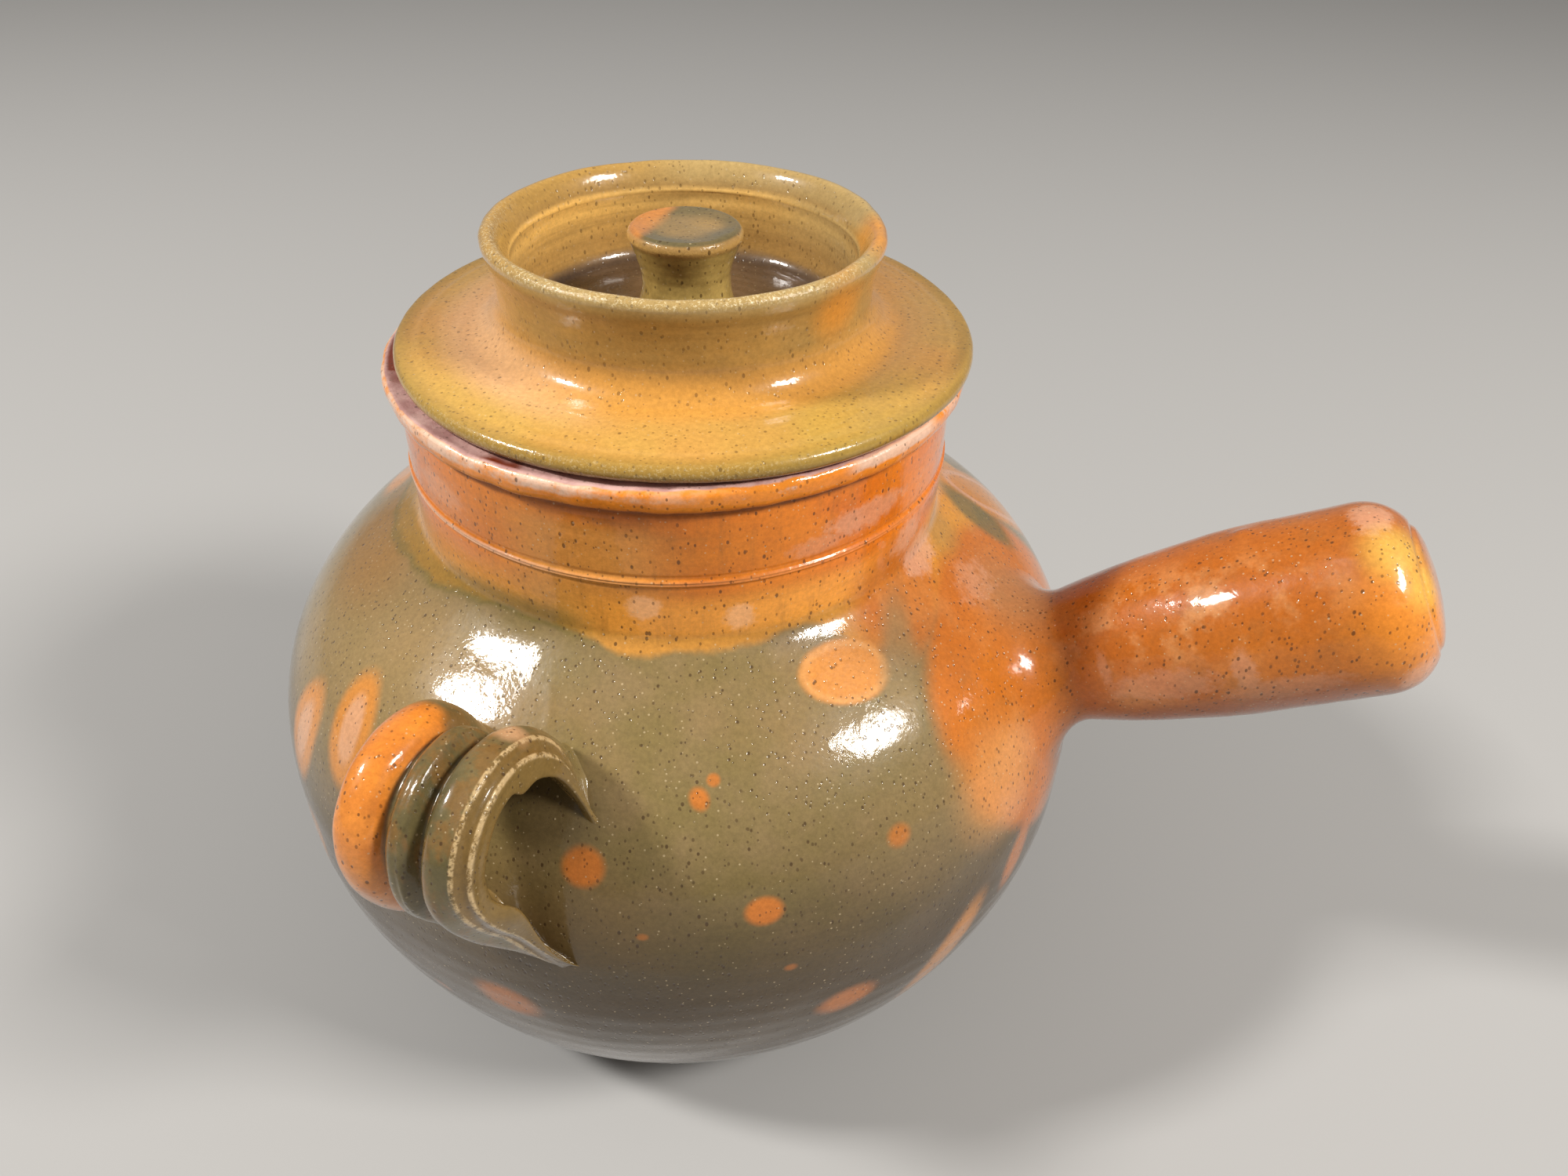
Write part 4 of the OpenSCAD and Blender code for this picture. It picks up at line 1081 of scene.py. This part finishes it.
def make_loop_glaze():
    t = Tree("loop_glaze")
    node = t.add("ShaderNodeAttribute", attribute_name="strap_masks")
    split = t.add("ShaderNodeSeparateColor")
    t.link(node.outputs["Color"], split.inputs[0])
    orange, edge, inner = split.outputs
    mid = t.noise(60, 4, 0.6)
    slow = t.noise(28, 3, 0.5)
    colour = t.mix(t.smooth(mid, 0.3, 0.7), (0.095, 0.076, 0.030), (0.165, 0.125, 0.052))
    hot = t.math("MULTIPLY", orange, t.smooth(slow, 0.30, 0.50, 0.70, 1.0))
    colour = t.mix(t.smooth(hot, 0.35, 0.85), colour, t.mix(t.smooth(mid, 0.35, 0.65), (0.72, 0.240, 0.032), (0.58, 0.178, 0.024)))
    streaky = t.noise(1.0, 4, 0.65, t.stretched((150, 150, 60)))
    colour = t.mix(t.math("MULTIPLY", t.smooth(orange, 0.99, 0.55), t.smooth(streaky, 0.42, 0.60, 0, 0.55)), colour, (0.230, 0.105, 0.024))
    pale_side = t.math("MULTIPLY", t.blob((-22, -141, 126), (9, 14, 26), 0.6, WORLD_AXES), t.smooth(streaky, 0.40, 0.58, 0.08, 0.4))
    colour = t.mix(pale_side, colour, (0.66, 0.34, 0.16))
    face = t.mix(mid, (0.135, 0.078, 0.021), (0.235, 0.140, 0.040))
    face = t.mix(t.smooth(inner, 0.80, 0.97), face, t.mix(mid, (0.140, 0.084, 0.023), (0.235, 0.146, 0.042)))
    colour = t.mix(t.smooth(inner, 0.15, 0.60, 0, 0.95), colour, face)
    x, y, z = t.axes()
    roots = t.add("ShaderNodeAttribute", attribute_name="strap_roots").outputs["Fac"]
    belly = belly_colour(t, x, z, t.noise(14, 3, 0.5), t.noise(46, 4, 0.6))
    colour = t.mix(t.math("MULTIPLY", roots, t.smooth(inner, 0.9, 0.3, 0.3, 1.0)), colour, belly)
    worn = t.math("MULTIPLY", t.smooth(edge, 0.40, 0.85), t.smooth(t.noise(420, 3, 0.75), 0.38, 0.56))
    colour = t.mix(t.math("MULTIPLY", worn, 0.8), colour, (0.62, 0.44, 0.22))
    pink = t.math("MULTIPLY", t.blob((-27, -124, 160), 8.0, 0.6), t.smooth(slow, 0.4, 0.6, 0.2, 0.7))
    colour = t.mix(pink, colour, (0.60, 0.30, 0.20))
    dab = t.math("MULTIPLY", t.blob((1.5, -117, 166), (5, 5, 3.2), 0.3, WORLD_AXES), 0.8)
    colour = t.mix(dab, colour, (0.58, 0.33, 0.17))
    colour, dots = speckled(t, colour, 0.72, 0.4)
    shine = t.math("MULTIPLY", t.math("MULTIPLY", edge, t.noise(1400, 2, 0.7)), 0.9)
    return finish_glaze(t, colour, pits=dots, sparkle=shine)


def make_lid_glaze():
    t = Tree("lid_glaze")
    x, y, z = t.axes()
    off = t.vmath("SUBTRACT", t.place, tuple(SHIFT * MM))
    flat = t.vmath("MULTIPLY", off, (1, 1, 0))
    radius = t.vmath("LENGTH", flat, (0, 0, 0))
    slow = t.noise(16, 3, 0.5)
    mid = t.noise(50, 4, 0.6)
    mustard = t.mix(t.smooth(mid, 0.3, 0.7), (0.56, 0.310, 0.060), (0.50, 0.285, 0.068))
    mustard = t.mix(t.smooth(y, -0.030, -0.060, 0, 0.8), mustard, (0.58, 0.360, 0.080))
    plate = t.mix(t.smooth(slow, 0.45, 0.65, 0, 0.7), mustard, (0.58, 0.27, 0.066))
    blush = t.math("MULTIPLY", t.blob((55, 5, 222), (14, 30, 9), 0.6, WORLD_AXES), 0.7)
    plate = t.mix(blush, plate, (0.56, 0.30, 0.10))
    green = t.math("MULTIPLY", t.smooth(radius, 0.073, 0.0805), t.smooth(slow, 0.30, 0.62, 0.25, 0.8))
    plate = t.mix(green, plate, (0.30, 0.190, 0.036))
    right = t.math("MULTIPLY", t.blob((62, -42, 220), (26, 26, 9), 0.6, WORLD_AXES), 0.4)
    plate = t.mix(right, plate, (0.40, 0.26, 0.050))
    # Painted shade on the lower half of the plate's rounded edge
    under = t.smooth(z, 0.2180, 0.2155)
    plate = t.mix(t.math("MULTIPLY", under, t.smooth(radius, 0.077, 0.079)), plate, (0.17, 0.095, 0.020))
    # The ring's wall: olive brown, orange brown lower down
    wall = t.mix(t.smooth(mid, 0.3, 0.7), (0.450, 0.250, 0.064), (0.360, 0.214, 0.062))
    bands = t.noise(1.0, 3, 0.6, t.stretched((14, 14, 420)))
    wall = t.mix(t.smooth(bands, 0.45, 0.75, 0, 0.4), wall, (0.200, 0.120, 0.038))
    wall_left = t.math("MULTIPLY", t.smooth(x, -0.020, -0.048), t.smooth(y, 0.010, -0.015))
    wall = t.mix(t.math("MULTIPLY", wall_left, 0.8), wall, (0.56, 0.320, 0.088))
    low_wall = t.mix(slow, (0.64, 0.285, 0.048), (0.54, 0.265, 0.055))
    ring = t.mix(t.smooth(z, 0.2240, 0.2325), low_wall, wall)
    ring = t.mix(t.smooth(z, 0.2395, 0.2435, 0, 0.55), ring, (0.34, 0.200, 0.056))
    colour = t.mix(t.smooth(radius, 0.0625, 0.0560), plate, ring)
    # Pinkish bloom round the foot of the ring, at the front left
    bloom = t.math("MULTIPLY", t.smooth(radius, 0.0720, 0.0610), t.smooth(z, 0.2290, 0.2235))
    bloom = t.math("MULTIPLY", bloom, t.smooth(t.vmath("DOT_PRODUCT", flat, (-0.80, -0.60, 0)), 0.030, 0.056))
    colour = t.mix(t.math("MULTIPLY", bloom, 0.8), colour, (0.74, 0.42, 0.20))
    # Lip, with an orange flash on the right and dull gold on the rest
    lip = t.math("MAXIMUM", t.smooth(z, 0.2425, 0.2455), t.smooth(radius, 0.0508, 0.0498))
    lip = t.math("MULTIPLY", lip, t.smooth(radius, 0.0463, 0.0469))
    lip_colour = t.mix(mid, (0.38, 0.250, 0.090), (0.50, 0.350, 0.140))
    lip_colour = t.mix(t.smooth(x, -0.010, -0.040, 0, 0.8), lip_colour, (0.46, 0.250, 0.050))
    lip_colour = t.mix(t.smooth(z, 0.2450, 0.2410, 0, 0.7), lip_colour, (0.34, 0.190, 0.055))
    colour = t.mix(t.math("MULTIPLY", lip, 0.85), colour, lip_colour)
    flash = t.blob((50, 10, 245), (13, 13, 10), 0.5, WORLD_AXES)
    flash = t.math("MAXIMUM", flash, t.blob((47, -15, 240), (7, 10, 9), 0.5, WORLD_AXES))
    colour = t.mix(t.math("MULTIPLY", flash, 0.9), colour, (0.64, 0.255, 0.034))
    # Inside of the ring, down to a greyish floor; the wall inside is lighter than the glaze, painted light for the
    # shade within the ring
    inside = t.smooth(radius, 0.0472, 0.0466)
    bowl = t.mix(t.smooth(slow, 0.35, 0.65), (0.80, 0.455, 0.115), (0.70, 0.440, 0.140))
    bowl = t.mix(t.smooth(x, 0.005, 0.040, 0, 0.8), bowl, (0.42, 0.295, 0.120))
    bowl = t.mix(t.smooth(z, 0.240, 0.226, 0, 0.7), bowl, (0.34, 0.180, 0.050))
    bowl = t.mix(t.smooth(bands, 0.50, 0.78, 0, 0.3), bowl, (0.15, 0.085, 0.030))
    rings = t.math("SINE", t.math("MULTIPLY_ADD", radius, 1500, t.math("MULTIPLY", slow, 5)))
    floor = t.mix(t.smooth(rings, -0.9, 1.0), (0.098, 0.057, 0.029), (0.112, 0.067, 0.036))
    bowl = t.mix(t.smooth(z, 0.2255, 0.2212), bowl, floor)
    colour = t.mix(inside, colour, bowl)
    colour, dots = speckled(t, colour, 0.5, 0.30)
    # Worn places on the lip and on the plate's edge, at the front: a bump that sparkles, and pale specks painted on as
    # glints
    gold = t.math("MULTIPLY", t.smooth(z, 0.2452, 0.2470), t.smooth(y, 0.010, -0.030))
    gold = t.math("MAXIMUM", gold, t.math("MULTIPLY", t.smooth(radius, 0.0775, 0.0793), t.smooth(y, -0.050, -0.072, 0, 0.35)))
    shine = t.math("MULTIPLY", t.math("MULTIPLY", gold, t.noise(1300, 2, 0.7)), 1.2)
    # Painted glints: pale specks on the worn places
    painted_glint = t.math("MULTIPLY", gold, t.smooth(t.noise(1400, 3, 0.75), 0.53, 0.62))
    colour = t.mix(t.math("MULTIPLY", painted_glint, 0.65), colour, (0.80, 0.68, 0.42))
    return finish_glaze(t, colour, pits=dots, sparkle=shine, base_rough=0.30)


def make_knob_glaze():
    t = Tree("knob_glaze")
    x, y, z = t.axes()
    mid = t.noise(75, 4, 0.6)
    slow = t.noise(40, 3, 0.5)
    side = t.mix(t.smooth(mid, 0.3, 0.7), (0.29, 0.195, 0.055), (0.47, 0.330, 0.100))
    side = t.mix(t.smooth(z, 0.2290, 0.2235, 0, 0.7), side, (0.34, 0.185, 0.045))
    top = t.mix(t.smooth(slow, 0.4, 0.6), (0.140, 0.108, 0.047), (0.190, 0.128, 0.051))
    warm = t.math("ADD", t.math("MULTIPLY", x, -1.0), t.math("MULTIPLY_ADD", slow, 0.010, -0.008))
    top = t.mix(t.smooth(warm, -0.0005, 0.0035), top, (0.52, 0.200, 0.045))
    colour = t.mix(t.smooth(z, 0.2440, 0.2462), side, top)
    rim = t.math("MULTIPLY", t.smooth(z, 0.2425, 0.2440), t.smooth(z, 0.2466, 0.2458))
    colour = t.mix(t.math("MULTIPLY", rim, 0.7), colour, t.mix(slow, (0.50, 0.25, 0.070), (0.42, 0.28, 0.095)))
    colour, dots = speckled(t, colour, 0.7, 0.4)
    shine = t.math("MULTIPLY", t.math("MULTIPLY", rim, t.noise(1500, 2, 0.7)), 0.8)
    return finish_glaze(t, colour, pits=dots, sparkle=shine)


def make_bare_rim():
    """The matt top of the rim, with a few runs of dark red glaze, and its worn outer edge."""
    t = Tree("bare_rim")
    x, y, z = t.axes()
    flat = t.vmath("MULTIPLY", t.place, (1, 1, 0))
    radius = t.vmath("LENGTH", flat, (0, 0, 0))
    mid = t.noise(120, 4, 0.65)
    slow = t.noise(26, 3, 0.6)
    mauve = t.mix(t.smooth(mid, 0.3, 0.7), (0.40, 0.200, 0.180), (0.64, 0.400, 0.350))
    glazed = t.math("MULTIPLY", t.smooth(slow, 0.57, 0.63), t.smooth(radius, 0.0798, 0.0785))
    colour = t.mix(glazed, mauve, (0.20, 0.030, 0.008))
    right = t.smooth(t.math("MULTIPLY_ADD", y, 0.55, x), 0.030, 0.052)
    colour = t.mix(t.math("MULTIPLY", right, t.smooth(mid, 0.35, 0.6, 0.3, 0.8)), colour, (0.60, 0.32, 0.18))
    wavy = t.math("MULTIPLY_ADD", t.noise(150, 3, 0.6), 0.0012, -0.0006)
    bead = t.smooth(t.math("ADD", radius, wavy), 0.0797, 0.0803)
    colour = t.mix(bead, colour, t.mix(mid, (0.88, 0.300, 0.026), (0.78, 0.230, 0.018)))
    worn = rim_wear(t, z)
    colour = t.mix(t.math("MULTIPLY", bead, worn), colour, t.mix(mid, WORN_RIM, (0.82, 0.60, 0.44)))
    colour, dots = speckled(t, colour, 0.5, 0.2)
    b = t.bsdf
    t.put(b.inputs["Base Color"], colour)
    shiny = t.math("MAXIMUM", glazed, t.math("MULTIPLY", bead, t.smooth(worn, 0.9, 0.2, 0.6, 1.0)))
    t.put(b.inputs["Roughness"], t.smooth(shiny, 0.0, 1.0, 0.62, 0.12))
    bump = t.add("ShaderNodeBump")
    bump.inputs["Strength"].default_value = 0.5
    bump.inputs["Distance"].default_value = 0.0004
    t.link(t.noise(520, 3, 0.6), bump.inputs["Height"])
    t.link(bump.outputs[0], b.inputs["Normal"])
    return t.mat


def make_bare_base():
    """Unglazed clay under the pot and under the lid."""
    t = Tree("bare_base")
    mid = t.noise(40, 4, 0.6)
    colour = t.mix(mid, (0.42, 0.170, 0.080), (0.56, 0.28, 0.15))
    grit = t.specks(300, 0.3, 0.08, 0.18, (2, 6, 1))
    colour = t.mix(t.math("MULTIPLY", grit, 0.6), colour, (0.20, 0.10, 0.06))
    soot = t.smooth(t.noise(22, 4, 0.6), 0.52, 0.70, 0, 0.5)
    colour = t.mix(soot, colour, (0.10, 0.06, 0.04))
    t.put(t.bsdf.inputs["Base Color"], colour)
    t.bsdf.inputs["Roughness"].default_value = 0.8
    bump = t.add("ShaderNodeBump")
    bump.inputs["Strength"].default_value = 0.6
    bump.inputs["Distance"].default_value = 0.0005
    t.link(t.noise(420, 4, 0.65), bump.inputs["Height"])
    t.link(bump.outputs[0], t.bsdf.inputs["Normal"])
    return t.mat


def make_stage():
    mesh = bpy.data.meshes.new("floor")
    mesh.from_pydata([(-6, -6, 0), (6, -6, 0), (6, 6, 0), (-6, 6, 0)], [], [(0, 1, 2, 3)])
    floor = bpy.data.objects.new("floor", mesh)
    bpy.context.scene.collection.objects.link(floor)
    mat = bpy.data.materials.new("floor")
    mat.use_nodes = True
    b = mat.node_tree.nodes["Principled BSDF"]
    b.inputs["Base Color"].default_value = (0.385, 0.378, 0.368, 1)
    b.inputs["Roughness"].default_value = 0.75
    mesh.materials.append(mat)
    world = bpy.data.worlds.new("studio")
    world.use_nodes = True
    back = world.node_tree.nodes["Background"]
    back.inputs[0].default_value = (1.0, 0.97, 0.93, 1)
    back.inputs[1].default_value = 0.29
    bpy.context.scene.world = world
    softbox("light_left", -153.7, 44, 2.2, (0.28, 0.25), 45, (1.0, 0.98, 0.95))
    softbox("light_right", -5, 41.5, 2.2, (0.56, 0.40), 49, (1.0, 0.97, 0.93))
    view = bpy.context.scene.view_settings
    view.view_transform = "Standard"
    view.look = "None"
    view.exposure = 0.0


make_camera()
make_stage()
glaze_pot = make_pot_glaze()
glaze_loop = make_loop_glaze()
glaze_lid = make_lid_glaze()
glaze_knob = make_knob_glaze()
bare_rim = make_bare_rim()
bare_base = make_bare_base()
make_pot_body()
make_long_handle()
make_loop_handle()
make_lid()
make_knob()
